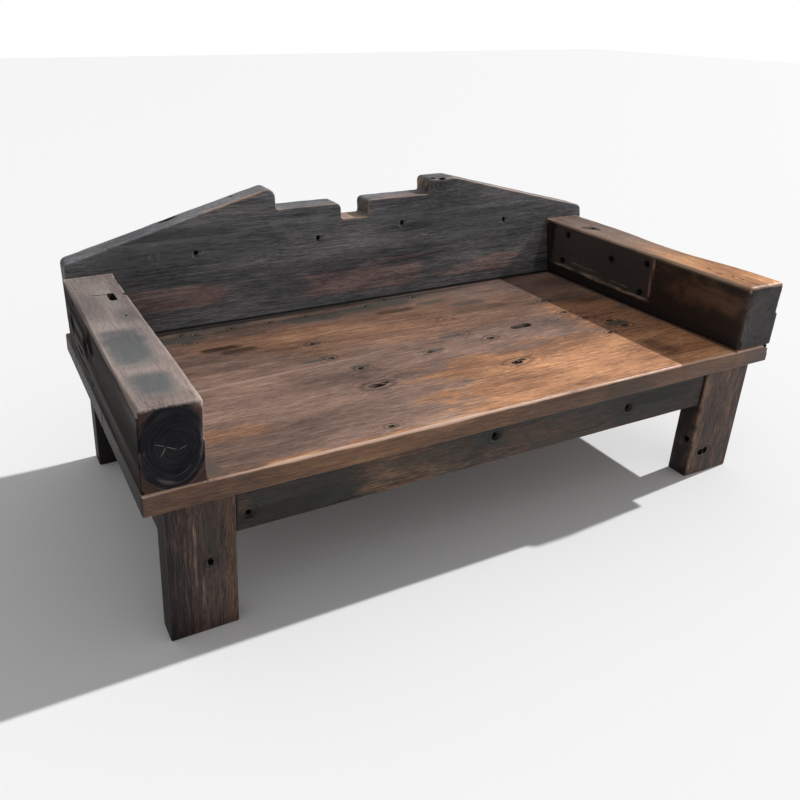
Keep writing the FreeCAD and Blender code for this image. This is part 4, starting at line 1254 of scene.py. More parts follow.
# %% Crest outline
SLAB_LOW, SLAB_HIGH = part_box("backrest")
SLAB_LEFT = SLAB_LOW.x - SEAT_LOW.x
SLAB_RIGHT = SLAB_HIGH.x - SEAT_LOW.x
SLAB_RUN = 0.076 / math.cos(LEAN)
SLAB_EDGE = 0.009
CREST = [(SLAB_LEFT, 0.225, 0.018), (0.639, 0.385, 0.026), (0.639, 0.317, 0.004), (0.855, 0.317, 0.018),
         (0.855, 0.267, 0.004), (0.948, 0.267, 0.004), (0.948, 0.317, 0.018), (1.178, 0.317, 0.004),
         (1.178, 0.364, 0.018), (1.276, 0.364, 0.026), (SLAB_RIGHT, 0.222, 0.018)]
FOOT_PLACES = (0.105, 0.598, 0.622, 0.812, 0.838, 0.965, 0.990, 1.196, 1.220, 1.300, SLAB_RIGHT - 0.105)
CORNER_STEPS = 12


def rounded_line(corners, before, after):
    """Points along an outline whose corners are rounded by their own radii."""
    spots = [np.array(before)] + [np.array(c[:2]) for c in corners] + [np.array(after)]
    line = [spots[0]]
    for index, corner in enumerate(corners):
        here = spots[index + 1]
        back = spots[index] - here
        on = spots[index + 2] - here
        back, on = back / np.linalg.norm(back), on / np.linalg.norm(on)
        half = math.acos(np.clip(back @ on, -1, 1)) / 2
        tangent = corner[2] / math.tan(half)
        centre = here + (back + on) / np.linalg.norm(back + on) * corner[2] / math.sin(half)
        first, last = here + back * tangent - centre, here + on * tangent - centre
        sweep = math.pi - 2 * half
        turn = np.sign(first[0] * last[1] - first[1] * last[0])
        for share in np.linspace(0, 1, CORNER_STEPS + 1):
            a = turn * sweep * share
            line.append(centre + [first[0] * math.cos(a) - first[1] * math.sin(a),
                                  first[0] * math.sin(a) + first[1] * math.cos(a)])
    line.append(spots[-1])
    return np.array(line)


outline = rounded_line(CREST, (SLAB_LEFT, 0.0), (SLAB_RIGHT, 0.0))
steps_along = np.linalg.norm(np.diff(outline, axis=0), axis=1)
run_along = np.concatenate([[0], np.cumsum(steps_along)])
print("crest outline", len(outline), "points", round(run_along[-1], 3), "m")

# %% [markdown]
# ## From a straight timber to the slab
#
# The slab begins as a straight timber as long as its own crest line. The map bends that
# timber round the steps of the crest. Its top mesh lines then follow every corner, and the
# arris is worn all the way round. A saw cut through a plain board would leave sharp steps.

# %% Backrest slab
COLUMN_STEP = 0.0085
INSET = 0.013
COLUMN = 0.300
SMOOTHING = 13

fine = np.linspace(0, run_along[-1], 2400)
crest_line = np.column_stack([np.interp(fine, run_along, outline[:, axis]) for axis in range(2)])
inward = np.gradient(crest_line, axis=0) @ np.array([[0, -1], [1, 0]])
inward = inward / np.linalg.norm(inward, axis=1, keepdims=True)
window = np.ones(SMOOTHING) / SMOOTHING
padded = [np.pad(inward[:, axis], SMOOTHING // 2, mode="edge") for axis in range(2)]
inward = np.column_stack([np.convolve(row, window, "valid") for row in padded])
inward = inward / np.linalg.norm(inward, axis=1, keepdims=True)
corner_runs = [run_along[1 + (CORNER_STEPS + 1) * index + CORNER_STEPS // 2] for index in range(len(CREST))]
foot_runs = [0.0] + corner_runs + [run_along[-1]]
foot_places = [SLAB_LEFT + INSET] + list(FOOT_PLACES) + [SLAB_RIGHT - INSET]


def slab_flat(points):
    """Distance from the seat's left end and rise on the slab, for places run along the crest and up."""
    top = np.column_stack([np.interp(points[:, 0], fine, crest_line[:, axis]) for axis in range(2)])
    way = np.column_stack([np.interp(points[:, 0], fine, inward[:, axis]) for axis in range(2)])
    below = COLUMN - points[:, 2]
    inner = top + way * np.minimum(below, INSET)[:, None]
    share = np.clip((below - INSET) / (COLUMN - INSET), 0, 1)[:, None]
    base = np.column_stack([np.interp(points[:, 0], foot_runs, foot_places), np.zeros(len(points))])
    return inner + (base - inner) * share


# %% Wear of the slab
slab_grain = weathered("x", 0.00035, 71)


def slab_relief(points, facing):
    """Grain that runs straight through the slab, and a rougher sawn top."""
    flat = slab_flat(points)
    spots = np.column_stack([flat[:, 0], points[:, 1], flat[:, 1]])
    depth = slab_grain(spots, facing * np.array([0.0, 1.0, 1.0]))
    top = step_up(facing[:, 2], 0.5, 0.9)
    rough = 0.5 + 0.5 * soft_noise(spots, (30, 60, 60), 72)
    return depth + 0.0012 * top * rough


def slab_radius(points, size):
    """Width of the worn arrises: the crest's are wide, most of all at its right shoulder."""
    flat = slab_flat(points)
    up_high = points[:, 2] > size[2] / 2
    front = points[:, 1] < size[1] / 2
    shoulder = np.exp(-((flat[:, 0] - 1.235) / 0.05) ** 4)
    base = np.where(up_high, np.where(front, 0.0052, SLAB_EDGE * 0.8), 0.0012)
    return base + np.where(up_high & front, 0.010 * shoulder, 0)


def slab_rub(flat, size, edge):
    """Only the crest is rubbed, and its left slope the least."""
    share = 0.35 + 0.65 * step_up(flat[:, 0], 0.70, 0.90)
    return share * even_rub(flat, size, edge) * step_up(flat[:, 2], size[2] * 0.5, size[2] * 0.7)


# %% [markdown]
# ## Marks on the backrest
#
# Rain left light and dark streaks on its front, over rusty patches, and the worn crest is
# pale. A mark on it is given by its place along the slab and its rise up the slope, because
# that is how the slab would be marked while it lay on a bench.

# %% Stains on the slab
BACKREST_HOLES = [(-0.523, 0.216), (-0.132, 0.218), (0.170, 0.235), (0.577, 0.206)]


def slab_mark(x, rise, through=0.0):
    """A mark on the slab's front, as x from the seat's middle, a depth and a height above the seat."""
    return (x, SLOPE_FOOT + through + rise * math.sin(LEAN), rise * math.cos(LEAN))


SLAB_WARM = [(1.0, -0.615, 0.088, 0.130, 0.030), (1.0, 0.040, 0.072, 0.190, 0.036),
             (0.8, 0.130, 0.112, 0.100, 0.016), (0.9, 0.527, 0.064, 0.088, 0.026),
             (0.5, 0.40, 0.055, 0.14, 0.014), (0.4, -0.35, 0.030, 0.22, 0.012)]
SLAB_GREY = [(0.55, -0.55, 0.235, 0.30, 0.050), (0.40, 0.45, 0.210, 0.16, 0.050),
             (0.40, 0.10, 0.260, 0.35, 0.020)]
SLAB_KNOTS = [(0.33, 0.84, 0.30), (-0.30, 0.82, 0.20), (0.10, 0.81, 0.09), (0.30, 0.84, 0.345),
              (0.345, 0.84, 0.325)]
BOX_MARK = (-0.6455, 0.2255)
BOX_HALF = (0.0125, 0.0285)
BOX_LINE = 0.0012


def on_front(points, rows, seed):
    """Stains on the slab's front, each row a strength, x, rise and how far it reaches along both."""
    return strongest(points, [(strength, (x, SLOPE_FOOT, rise), (wide, 1, high))
                              for strength, x, rise, wide, high in rows], seed)


# %% Paint the slab
def slab_paint(points, facing):
    """Marks of the backrest: rusty patches on its front, pale worn steps, a tan notch, painted shade at its
    foot and the right arm's painted shadow beside it.
    """
    x = points[:, 0] - SEAT_MIDDLE
    through = points[:, 1] - SEAT_LOW.y - SLOPE_FOOT - (points[:, 2] - SEAT_HIGH.z) * math.tan(LEAN)
    rise = (points[:, 2] - SEAT_HIGH.z) / math.cos(LEAN)
    spots = np.column_stack([points[:, 0], points[:, 1], rise])
    front = step_up(-facing[:, 1], 0.3, 0.8)
    top = step_up(facing[:, 2], 0.45, 0.85)
    face = marks([slab_mark(0, 0)])[0]
    flat = np.column_stack([points[:, 0], np.full(len(points), face[1]), rise + face[2]])
    warm = on_front(flat, SLAB_WARM, 76) * front * (1 + 0.9 * soft_noise(spots, (2.4, 75, 75), 91))
    grey = on_front(flat, SLAB_GREY, 73)
    curl = sum(swing(points, knot, "x", 2, 0.06, 0.014) for knot in SLAB_KNOTS)
    slope = np.interp(x + SEAT_LENGTH / 2, (CREST[0][0], CREST[1][0]), (CREST[0][1], CREST[1][1]))
    under = slope - rise + 0.002 * soft_noise(points, (30, 30, 30), 88)
    slope_arris = np.exp(-(under / 0.0065) ** 2) * step_up(-through, -0.016, -0.006)
    slope_arris = slope_arris * step_up(x, -0.52, -0.45) * step_up(-x, 0.28, 0.34)
    notch = soft_patch(points, (-0.01, 0.85, 0.262), (0.050, 0.1, 0.010), 81, 0.1, 0.3)
    right_line = step_up(x, 0.30, 0.36) * step_up(-through, -0.010, -0.002)
    right_line = right_line * step_up(facing[:, 2], 0.2, 0.4) * step_up(rise, 0.19, 0.2)
    step_line = soft_patch(points, (0.19, 0.84, 0.311), (0.075, 0.03, 0.012), 86, 0.2, 0.4) * top
    tan = np.clip(0.8 * slope_arris + notch * (1 - 0.7 * front) + 0.7 * right_line + 0.6 * step_line, 0, 1)
    green = soft_patch(points, (-0.74, 0.87, 0.25), (0.16, 0.1, 0.08), 83) * (1 - front)
    shoulder = soft_patch(points, (0.325, 0.86, 0.345), (0.055, 0.1, 0.030), 84)
    streaks = step_up(soft_noise(spots, (2.2, 60, 60), 89), 0.25, 0.6)
    streaks = streaks - step_up(soft_noise(spots, (2.6, 70, 70), 90), 0.35, 0.6)
    aside, above = np.abs(x - BOX_MARK[0]), np.abs(rise - BOX_MARK[1])
    box_line = (np.abs(aside - BOX_HALF[0]) < BOX_LINE) & (above < BOX_HALF[1])
    box_line = box_line | ((np.abs(above - BOX_HALF[1]) < BOX_LINE) & (aside < BOX_HALF[0]))
    top_grain = 0.30 * soft_noise(spots, (5, 130, 130), 87) * top
    light = 0.06 + 0.60 * top - 0.26 * step_up(-x, 0.3, 0.75) * front + 0.10 * step_up(x, 0.3, 0.6) * front
    light = light - 0.05 * warm + 0.10 * soft_noise(spots, (1.2, 20, 20), 85) * front
    light = light - 0.45 * (1 - front) * (1 - top)
    light = light - 0.25 * green * top - 0.15 * shoulder + front * 0.5 * box_line + top_grain
    light = light + front * streaks * (0.14 + 0.14 * step_up(rise, 0.15, 0.28) + 0.10 * warm)
    light = light + 0.12 * step_up(rise, 0.0, 0.3) * front * step_up(x, -0.6, -0.2) * step_up(-x, -0.4, 0.0)
    crack_line = np.exp(-((x + 0.32 - 0.6 * (rise - 0.30)) / 0.006) ** 2) * top

    def dab(x0, rise0, wide, high):
        return front * np.exp(-((x - x0) / wide) ** 2 - ((rise - rise0) / high) ** 2)

    for x0, rise0 in BACKREST_HOLES:
        light = light + 0.7 * dab(x0 + 0.022, rise0 + 0.001, 0.012, 0.002)
        light = light + 0.5 * dab(x0, rise0 - 0.010, 0.008, 0.0025)
    # Painted shade at the foot of the front, in the crease with the seat.
    foot = front * step_up(-rise, -0.009, -0.003)
    # Painted shadow of the right arm: a wedge on the front next to the arm.
    painted_arm_shadow = front * step_up(x - 0.35 * rise, 0.694, 0.700) * step_up(-rise, -0.195, -0.185)
    light = light - 0.45 * painted_arm_shadow
    return {"dirt": np.clip(0.30 * shoulder + 0.6 * crack_line + 0.9 * foot, 0, 1), "swirl": curl,
            "grey": np.clip(grey * (1 - top) + 0.25 * green, 0, 1), "warm": warm + tan, "light": light,
            "rim": step_up(rise, 0.25, 0.4), "worn_line": 0.6 * tan}


# %% Set the slab leaning
def on_slab(points):
    """Place in the frame of points of the straight timber, bent to the crest and set leaning."""
    flat = slab_flat(points)
    y = SLOPE_FOOT + points[:, 1] + flat[:, 1] * math.sin(LEAN)
    z = SEAT_THICKNESS + flat[:, 1] * math.cos(LEAN)
    return np.column_stack([flat[:, 0], y, z]) + np.array(SEAT_LOW)


backrest = timber("slab", (run_along[-1], SLAB_RUN, COLUMN), (COLUMN_STEP, 0.004, 0.003), SLAB_EDGE, "x",
                  slab_relief, on_slab, slab_paint, radius=slab_radius, rub=slab_rub)
print("backrest", len(backrest.data.polygons))

# %% [markdown]
# ## Holes in the backrest
#
# Four bolts once went through the slab. Each hole is round with a torn mouth, wider on the
# side the bolt was drawn out. On the slope of the crest there is a slot along the grain.

# %% Cut the backrest
SLAB_OUT = (0.0, -math.cos(LEAN), math.sin(LEAN))
slab_bores = [bore("slab_bore", slab_mark(*hole), SLAB_OUT, 0.0065, 0.10, 0.05) for hole in BACKREST_HOLES]
torn = [(slab_mark(x - 0.001, rise - 0.006, -0.001), (0.009, 0.004, 0.008)) for x, rise in BACKREST_HOLES]
torn += [(slab_mark(x + 0.010, rise + 0.001, -0.001), (0.010, 0.003, 0.003)) for x, rise in BACKREST_HOLES]
slab_pits = pits("slab_pits", torn, 8.0, 0.004, 0.2)
top_pits = pits("top_pits", [
    ((-0.384, 0.895, 0.347), (0.008, 0.004, 0.006)), ((0.300, 0.850, 0.357), (0.010, 0.012, 0.004)),
    ((0.333, 0.846, 0.352), (0.012, 0.006, 0.005))], 8.5, 0.008, 0.8)
slope_slot = cracks("slope_slot", [((-0.612, 0.888, 0.289), (-0.552, 0.892, 0.305))],
                    UP, 0.020, 0.020, 0.002, 3.0)
slab_cracks = cracks("slab_cracks", [(slab_mark(-0.80, 0.142), slab_mark(-0.68, 0.146)),
                                     (slab_mark(0.24, 0.187), slab_mark(0.34, 0.184))],
                     SLAB_OUT, 0.0010, 0.003, 0.010, 9.0)
cut(backrest, slab_bores + [slab_pits, top_pits, slope_slot, slab_cracks])
print("backrest cut", len(backrest.data.polygons))

# %% [markdown]
# ## Legs, aprons and bearers
#
# The frame under the seat is plain squared timber. It is seen from low down and from
# behind, so it gets the same wear as the rest. Each piece reads its place from the solids
# of the frame, and a loop makes the ones that are alike. Tenons lie hidden in the mortises,
# so the aprons end at the legs here, and the bearers at the aprons.

# %% Timbers that are plain boxes


LONG_STEP = 0.009


def plain_timber(name, low, high, grain, step, edge, depth, seed, paint):
    """A squared timber between two corners, aged."""
    low, high = np.array(low), np.array(high)
    steps = grain_scale(grain, LONG_STEP, step)
    return timber(name, high - low, steps, edge, grain, weathered(grain, depth, seed),
                  lambda points: points + low, paint)


def frame_paint(seed, grain, rows=()):
    """Marks of a frame timber: dark and pale clouds along its grain, painted shade on the sides that face
    left, and its own rows of stains and painted light and shade.
    """
    def paint(points, facing):
        scale = grain_scale(grain, 3, 22)
        cloud = soft_noise(points, scale, seed)
        grey = 0.4 * step_up(soft_noise(points, scale, seed + 2), 0.1, 0.7)
        warm = 0.35 + 0.6 * step_up(soft_noise(points, scale, seed + 3), 0.0, 0.8)
        # Painted shade on the sides that face left, away from the key light.
        light = 0.18 * cloud - 0.35 * step_up(-facing[:, 0], 0.5, 0.9)
        values = {"dirt": 0.30 * step_up(-cloud, 0.2, 0.8),
                  "swirl": 0.004 * soft_noise(points, (9, 9, 9), seed + 1),
                  "grey": grey, "warm": warm, "light": light, "rim": np.zeros(len(points))}
        for index, (label, strength, centre, reach) in enumerate(rows):
            mark = strength * soft_patch(points, centre, reach, seed + 10 + index)
            old = values[label]
            values[label] = old + mark if label == "light" else np.maximum(old, mark)
        return values
    return paint


# %% Legs
LEG_LEFT_LOW, LEG_LEFT_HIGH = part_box("leg_front_left")
LEG_RIGHT_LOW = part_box("leg_front_right")[0]
LEG_FACE = LEG_LEFT_LOW.y - SEAT_LOW.y
LEG_MARKS = {
    "leg_front_left": [("light", -0.12, (-0.77, LEG_FACE, -0.25), (0.08, 0.01, 0.25)),
                       # The left side of the front left leg gets more painted shade.
                       ("light", -0.45, (-0.85, 0.10, -0.25), (0.012, 0.1, 0.25)),
                       ("warm", 1.2, (-0.712, LEG_FACE, -0.25), (0.012, 0.02, 0.2)),
                       ("light", 1.7, (-0.792, LEG_FACE, -0.20), (0.0026, 0.004, 0.085)),
                       ("light", 1.2, (-0.776, LEG_FACE, -0.30), (0.0024, 0.004, 0.035)),
                       ("light", 0.5, (-0.757, LEG_FACE, -0.236), (0.010, 0.004, 0.005)),
                       ("light", 0.35, (-0.757, LEG_FACE, -0.33), (0.05, 0.01, 0.08))],
    "leg_front_right": [("warm", 1.2, (0.722, LEG_FACE, -0.22), (0.014, 0.02, 0.2)),
                        ("light", 1.0, (0.7155, LEG_FACE, -0.20), (0.0022, 0.004, 0.16)),
                        ("light", 0.5, (0.760, LEG_FACE, -0.348), (0.020, 0.004, 0.005)),
                        ("dirt", 0.8, (0.712, LEG_FACE + 0.06, -0.25), (0.006, 0.055, 0.25)),
                        ("light", 0.30, (0.79, LEG_FACE, -0.20), (0.07, 0.01, 0.18))],
    # The rear left leg stands under the seat and is painted dark all over as shade.
    "leg_rear_left": [("dirt", 1.0, (-0.82, 0.82, -0.25), (0.3, 0.3, 0.6))], "leg_rear_right": []}
legs = {}
for index, (node, rows) in enumerate(LEG_MARKS.items()):
    low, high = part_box(node)
    legs[node] = plain_timber(node + "_post", low, high, "z", 0.003, 0.006, 0.0005, 81 + 3 * index,
                              frame_paint(90 + 5 * index, "z", rows))

# %% Aprons
APRON_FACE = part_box("apron_front")[0].y - SEAT_LOW.y
APRON_HOLES = [(-0.6665, -0.1312), (-0.0202, -0.0964), (0.4225, -0.1156)]
APRON_STAINS = [
    ("grey", 0.6, -0.55, -0.14, (0.14, 0.01, 0.07)), ("light", -0.12, -0.60, -0.14, (0.20, 0.01, 0.09)),
    ("light", 0.45, -0.345, -0.13, (0.045, 0.01, 0.05)), ("warm", 0.9, -0.316, -0.12, (0.12, 0.01, 0.06)),
    ("grey", 0.8, -0.035, -0.09, (0.05, 0.01, 0.03)), ("warm", 0.8, 0.16, -0.13, (0.12, 0.01, 0.05)),
    ("grey", 0.6, 0.497, -0.12, (0.12, 0.01, 0.05)), ("light", -0.25, 0.55, -0.14, (0.17, 0.01, 0.08)),
    ("light", 0.9, 0.50, -0.125, (0.030, 0.004, 0.0012)), ("dirt", 0.5, -0.62, -0.15, (0.16, 0.01, 0.03)),
    ("dirt", 0.5, 0.55, -0.10, (0.14, 0.01, 0.02)),
    # Painted shade in the joints where the apron meets the legs.
    ("dirt", 1.0, LEG_LEFT_HIGH.x - ORIGIN[0], -0.14, (0.004, 0.01, 0.12)),
    ("dirt", 1.0, LEG_RIGHT_LOW.x - ORIGIN[0], -0.14, (0.004, 0.01, 0.12))]
# A painted highlight just under each counterbore.
APRON_STAINS += [("light", 0.8, x, z - 0.0165, (0.009, 0.004, 0.0022)) for x, z in APRON_HOLES]
APRON_MARKS = [(label, strength, (x, APRON_FACE, z), reach)
               for label, strength, x, z, reach in APRON_STAINS]
APRON_TOP = SEAT_LOW.z
APRON_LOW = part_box("apron_front")[0].z
aprons = {}
for index, node in enumerate(("apron_front", "apron_rear")):
    low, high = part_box(node)
    paint = frame_paint(110 + 5 * index, "x", APRON_MARKS if node == "apron_front" else ())
    aprons[node] = plain_timber(node + "_rail", (LEG_LEFT_HIGH.x, low.y, APRON_LOW),
                                (LEG_RIGHT_LOW.x, high.y, APRON_TOP), "x", 0.003, 0.006, 0.0006,
                                101 + index, paint)
leg_back = LEG_LEFT_HIGH.y
rear_leg_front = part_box("leg_rear_left")[0].y
for index, node in enumerate(("apron_left", "apron_right")):
    low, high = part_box(node)
    aprons[node] = plain_timber(node + "_rail", (low.x, leg_back, APRON_LOW),
                                (high.x, rear_leg_front, APRON_TOP), "y", 0.004, 0.006, 0.0006, 121 + index,
                                frame_paint(130 + 5 * index, "y"))

# %% Bearers
bearers = {}
rail_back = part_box("apron_front")[1].y
rail_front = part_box("apron_rear")[0].y
for index, node in enumerate(("bearer_left", "bearer_middle", "bearer_right")):
    low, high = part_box(node)
    bearers[node] = plain_timber(node + "_bar", (low.x, rail_back, low.z), (high.x, rail_front, high.z),
                                 "y", 0.005, 0.005, 0.0005, 141 + index, frame_paint(150 + 5 * index, "y"))
print("frame", {name: len(p.data.polygons) for name, p in {**legs, **aprons, **bearers}.items()})

# %% [markdown]
# ## Holes in the frame timbers
#
# The apron shows the old counterbores of three bolts: a wide flat seat with a narrow bore in
# it, so each is cut with two round cutters. Each front leg has a bore and a torn pit or two.

# %% Cut the frame timbers
rail_bores = []
for x, z in APRON_HOLES:
    rail_bores.append(bore("rail_bore", (x, APRON_FACE, z), FORWARD, 0.014, 0.005, 0.03, 0.25))
    rail_bores.append(bore("rail_bore", (x, APRON_FACE, z), FORWARD, 0.0065, 0.020, 0.04))
rail_cracks = cracks("rail_cracks", [((-0.46, APRON_FACE, -0.162), (-0.25, APRON_FACE, -0.158)),
                                     ((0.22, APRON_FACE, -0.150), (0.36, APRON_FACE, -0.146))],
                     FORWARD, 0.0012, 0.004, 0.012, 11.0)
cut(aprons["apron_front"], rail_bores + [rail_cracks])
leg_bore = bore("leg_bore", (-0.758, LEG_FACE, -0.226), FORWARD, 0.007, 0.045, 0.05)
leg_pit = pits("leg_pit", [((-0.760, LEG_FACE - 0.001, -0.219), (0.006, 0.006, 0.007))], 10.0, 0.004, 0.6)
cut(legs["leg_front_left"], [leg_bore, leg_pit])
right_leg_pits = pits("right_leg_pits", [
    ((0.752, LEG_FACE - 0.002, -0.334), (0.012, 0.014, 0.010)),
    ((0.770, LEG_FACE - 0.002, -0.332), (0.010, 0.012, 0.011))], 9.0, 0.005)
inner_bore = bore("inner_bore", (0.706, LEG_FACE + 0.020, -0.288), TO_THE_LEFT, 0.009, 0.030, 0.04)
cut(legs["leg_front_right"], [right_leg_pits, inner_bore])
print("frame cut", len(aprons["apron_front"].data.polygons))

# %% [markdown]
# ## Screws and bolts
#
# Every screw and bolt is a round or six sided bar that swells at its head, so one tree turns
# all of them: it sweeps a ring of as many sides as asked along a short line, and the line
# carries its own radius at each point. The lines start where the frame's own screws and bolts
# start, so every one sits in its bore. Lathe tools would do the same to each one in turn.

# %% Find the rods of a node
SAME_LEVEL = 1e-5


def rods_of(node, way):
    """Start and length of each separate piece of a node, measured along the way it points."""
    form = bmesh.new()
    form.from_mesh(bpy.data.objects[node].data)
    bmesh.ops.remove_doubles(form, verts=form.verts, dist=SAME_PLACE)
    seen, found = set(), []
    for first in form.verts:
        if first in seen:
            continue
        stack, group = [first], []
        seen.add(first)
        while stack:
            vertex = stack.pop()
            group.append(vertex.co[:])
            for other in (edge.other_vert(vertex) for edge in vertex.link_edges):
                if other not in seen:
                    seen.add(other)
                    stack.append(other)
        group = np.array(group)
        along = group @ np.array(way)
        found.append((group[along < along.min() + SAME_LEVEL].mean(axis=0), float(np.ptp(along))))
    form.free()
    return found


SCREWS = rods_of("seat_screws", UP)
ARM_BOLTS = rods_of("arm_bolts", UP)
BACK_BOLTS = rods_of("backrest_bolts", SLAB_OUT)
ARM_WASHERS = rods_of("arm_bolt_washers", UP)
BACK_WASHERS = rods_of("backrest_bolt_washers", SLAB_OUT)
SCREW_LENGTH = SCREWS[0][1]
print("screws", len(SCREWS), "of", round(SCREW_LENGTH, 4), "bolts", len(ARM_BOLTS), len(BACK_BOLTS))

# %% [markdown]
# ## The tree that turns a bar
#
# A line with two points close together gives a sharp shoulder, because the radius jumps
# between them. Scaling a finished screw model would make its long and short copies differ in
# thickness, a swept line never does.

# %% A tree for turned bars
def bar_tree():
    """Round or many sided bars along the edges of a mesh, as thick as its points say."""
    tree, b, entry = new_tree("turned_bars", {"Sides": "Int", "Material": "Material"})
    curve = b.put("GeometryNodeMeshToCurve", {}, {"Mesh": entry("Geometry")})
    swell = b.put("GeometryNodeInputNamedAttribute", {"data_type": "FLOAT"}, {"Name": "swell"})
    as_many_sides = {"Resolution": entry("Sides"), "Radius": 1.0}
    ring = b.put("GeometryNodeCurvePrimitiveCircle", {"mode": "RADIUS"}, as_many_sides)
    sweep = {"Curve": curve, "Profile Curve": ring, "Fill Caps": True, "Scale": swell}
    bar = b.put("GeometryNodeCurveToMesh", {}, sweep)
    b.finish_tree(bar, entry("Material"))
    return tree


BARS = bar_tree()
print(BARS.name, "tree with", len(BARS.nodes), "nodes")


def bars(name, starts, way, profile, sides):
    """Closed bars from starts along a way, profile being rows of distance and radius."""
    mesh = bpy.data.meshes.new(name)
    count = len(profile)
    spots = [start + np.array(way) * far for start in starts for far, _ in profile]
    firsts = [index * count + step for index in range(len(starts)) for step in range(count - 1)]
    edges = [(first, first + 1) for first in firsts]
    mesh.from_pydata([tuple(spot) for spot in spots], edges, [])
    swell = mesh.attributes.new("swell", "FLOAT", "POINT")
    radii = np.tile([radius for _, radius in profile], len(starts))
    swell.data.foreach_set("value", radii.astype(np.float32))
    return run_tree(show(name, mesh), BARS, {"Sides": sides})


# %% Bolts, washers and screws
def join(name, pieces):
    """One piece from several."""
    form = bmesh.new()
    for piece in pieces:
        form.from_mesh(piece.data)
    mesh = bpy.data.meshes.new(name)
    form.to_mesh(mesh)
    form.free()
    for piece in pieces:
        bpy.data.objects.remove(piece)
    return show(name, mesh)


def bolts(name, rods, way):
    """Six sided heads with worn corners on round shanks that end in a small point."""
    starts, length = [start for start, _ in rods], rods[0][1]
    head = [(0.0, 0.0086), (0.0004, 0.0094), (0.0016, 0.0109), (0.0072, 0.0109), (0.0080, 0.0104)]
    shank = [(0.0076, 0.0058), (0.0090, 0.0060), (length - 0.0015, 0.0060), (length, 0.0048)]
    heads = bars("heads", starts, way, head, 6)
    shanks = bars("shanks", starts, way, shank, 20)
    return join(name, [heads, shanks])


def washers(name, rods, way):
    """Flat rings with soft borders: a bar with a narrower bar cut from it."""
    starts = [start for start, _ in rods]
    disc = [(0.0, 0.0143), (0.0004, 0.0149), (0.0026, 0.0149), (0.0030, 0.0143)]
    discs = bars(name, starts, way, disc, 40)
    discs.data.attributes.new("hollow", "FLOAT", "FACE")
    holes = bars("washer_holes", starts, way, [(-0.002, 0.0062), (0.005, 0.0062)], 28)
    cut(discs, [holes])
    return discs


arm_bolts = bolts("arm_bolt_bars", ARM_BOLTS, UP)
back_bolts = bolts("backrest_bolt_bars", BACK_BOLTS, SLAB_OUT)
arm_washers = washers("arm_washer_rings", ARM_WASHERS, UP)
back_washers = washers("backrest_washer_rings", BACK_WASHERS, SLAB_OUT)
SCREW_PROFILE = [(0.0, 0.0042), (0.0005, 0.0053), (0.0014, 0.0059), (0.0039, 0.0060), (0.0040, 0.0030),
                 (SCREW_LENGTH - 0.012, 0.0030), (SCREW_LENGTH, 0.0006)]
screws = bars("screw_bars", [start for start, _ in SCREWS], UP, SCREW_PROFILE, 24)
screws.data.attributes.new("hollow", "FLOAT", "FACE")
SLOT_HALF = np.array([0.007, 0.0006, 0])
slots = []
for start, _ in SCREWS:
    middle = np.array(start)
    ring = middle + np.array([(x, y, 0) for x, y in ((-1, -1), (1, -1), (1, 1), (-1, 1))]) * SLOT_HALF
    slots.append(prism("screw_slot", ring, UP, 0.0013, -0.001))
cut(screws, [join("screw_slots", slots)])
print("bars", [len(p.data.polygons) for p in (arm_bolts, back_bolts, arm_washers, back_washers, screws)])

# %% [markdown]
# ## Seats for the heads
#
# The heads in the backrest and in the bearers lie below the surface, in flat bottomed seats
# that a wide drill leaves. They are cut a little way beyond the heads, as deep as the frame
# has them, so the steel can be seen at the bottom of each.

# %% Cut the seats of the heads
OUT_OF_BACK = tuple(-np.array(SLAB_OUT))
back_seats = [bore("back_seat", start - ORIGIN, OUT_OF_BACK, 0.018, 0.011, 0.01, 0.5, 48)
              for start, _ in BACK_BOLTS]
cut(backrest, back_seats)
for index, piece in enumerate(bearers.values()):
    across = [vertex.co.x for vertex in piece.data.vertices]
    middle = (min(across) + max(across)) / 2
    near = [start for start, _ in SCREWS if abs(start[0] - middle) < 0.02]
    cut(piece, [bore("screw_seat", start - ORIGIN, (0, 0, -1), 0.0062, 0.004, 0.01, 0.5, 28)
                for start in near])
    print("bearer", index, "with", len(near), "screw seats")

# %% [markdown]
# ## Tones of each timber
#
# The timbers are of one wood but had different lives. The seat was sanded and oiled, the
# backrest lay in rain until it went grey, and the frame timbers are nearly black. The pale
# grey of the left arm is a painted reflection of the sky in dark oiled wood, so that arm has
# no shine of its own.

# %% Finishes
SEAT_END = [(38, 29, 26), (86, 64, 52), (96, 70, 56)]
RAIL = [(35, 32, 31), (53, 47, 44), (72, 63, 57), (98, 86, 74)]
RAIL_WARM = [(44, 34, 29), (68, 52, 43), (92, 70, 55), (122, 94, 71)]
SLAB_HOLES = [(slab_mark(x, rise), (0.004, 0.02, 0.004)) for x, rise in BACKREST_HOLES]
SLAB_HOLES += [(slab_mark(0.325, 0.338), (0.013, 0.05, 0.008))]
RAIL_HOLES = [((x, APRON_FACE, z), (0.015, 0.02, 0.015)) for x, z in APRON_HOLES]
SPIKE_MARKS = [((0.766, y, z), (0.02, 0.0085, 0.0085)) for y, z in SPIKE_HOLES]
SPIKE_MARKS += [((0.820, 0.640, 0.185), (0.010, 0.012, 0.02))]
LEG_HOLES = [((-0.758, LEG_FACE, -0.226), (0.010, 0.02, 0.010)),
             ((0.760, LEG_FACE, -0.334), (0.023, 0.02, 0.013)),
             ((0.706, LEG_FACE + 0.020, -0.288), (0.02, 0.012, 0.012))]
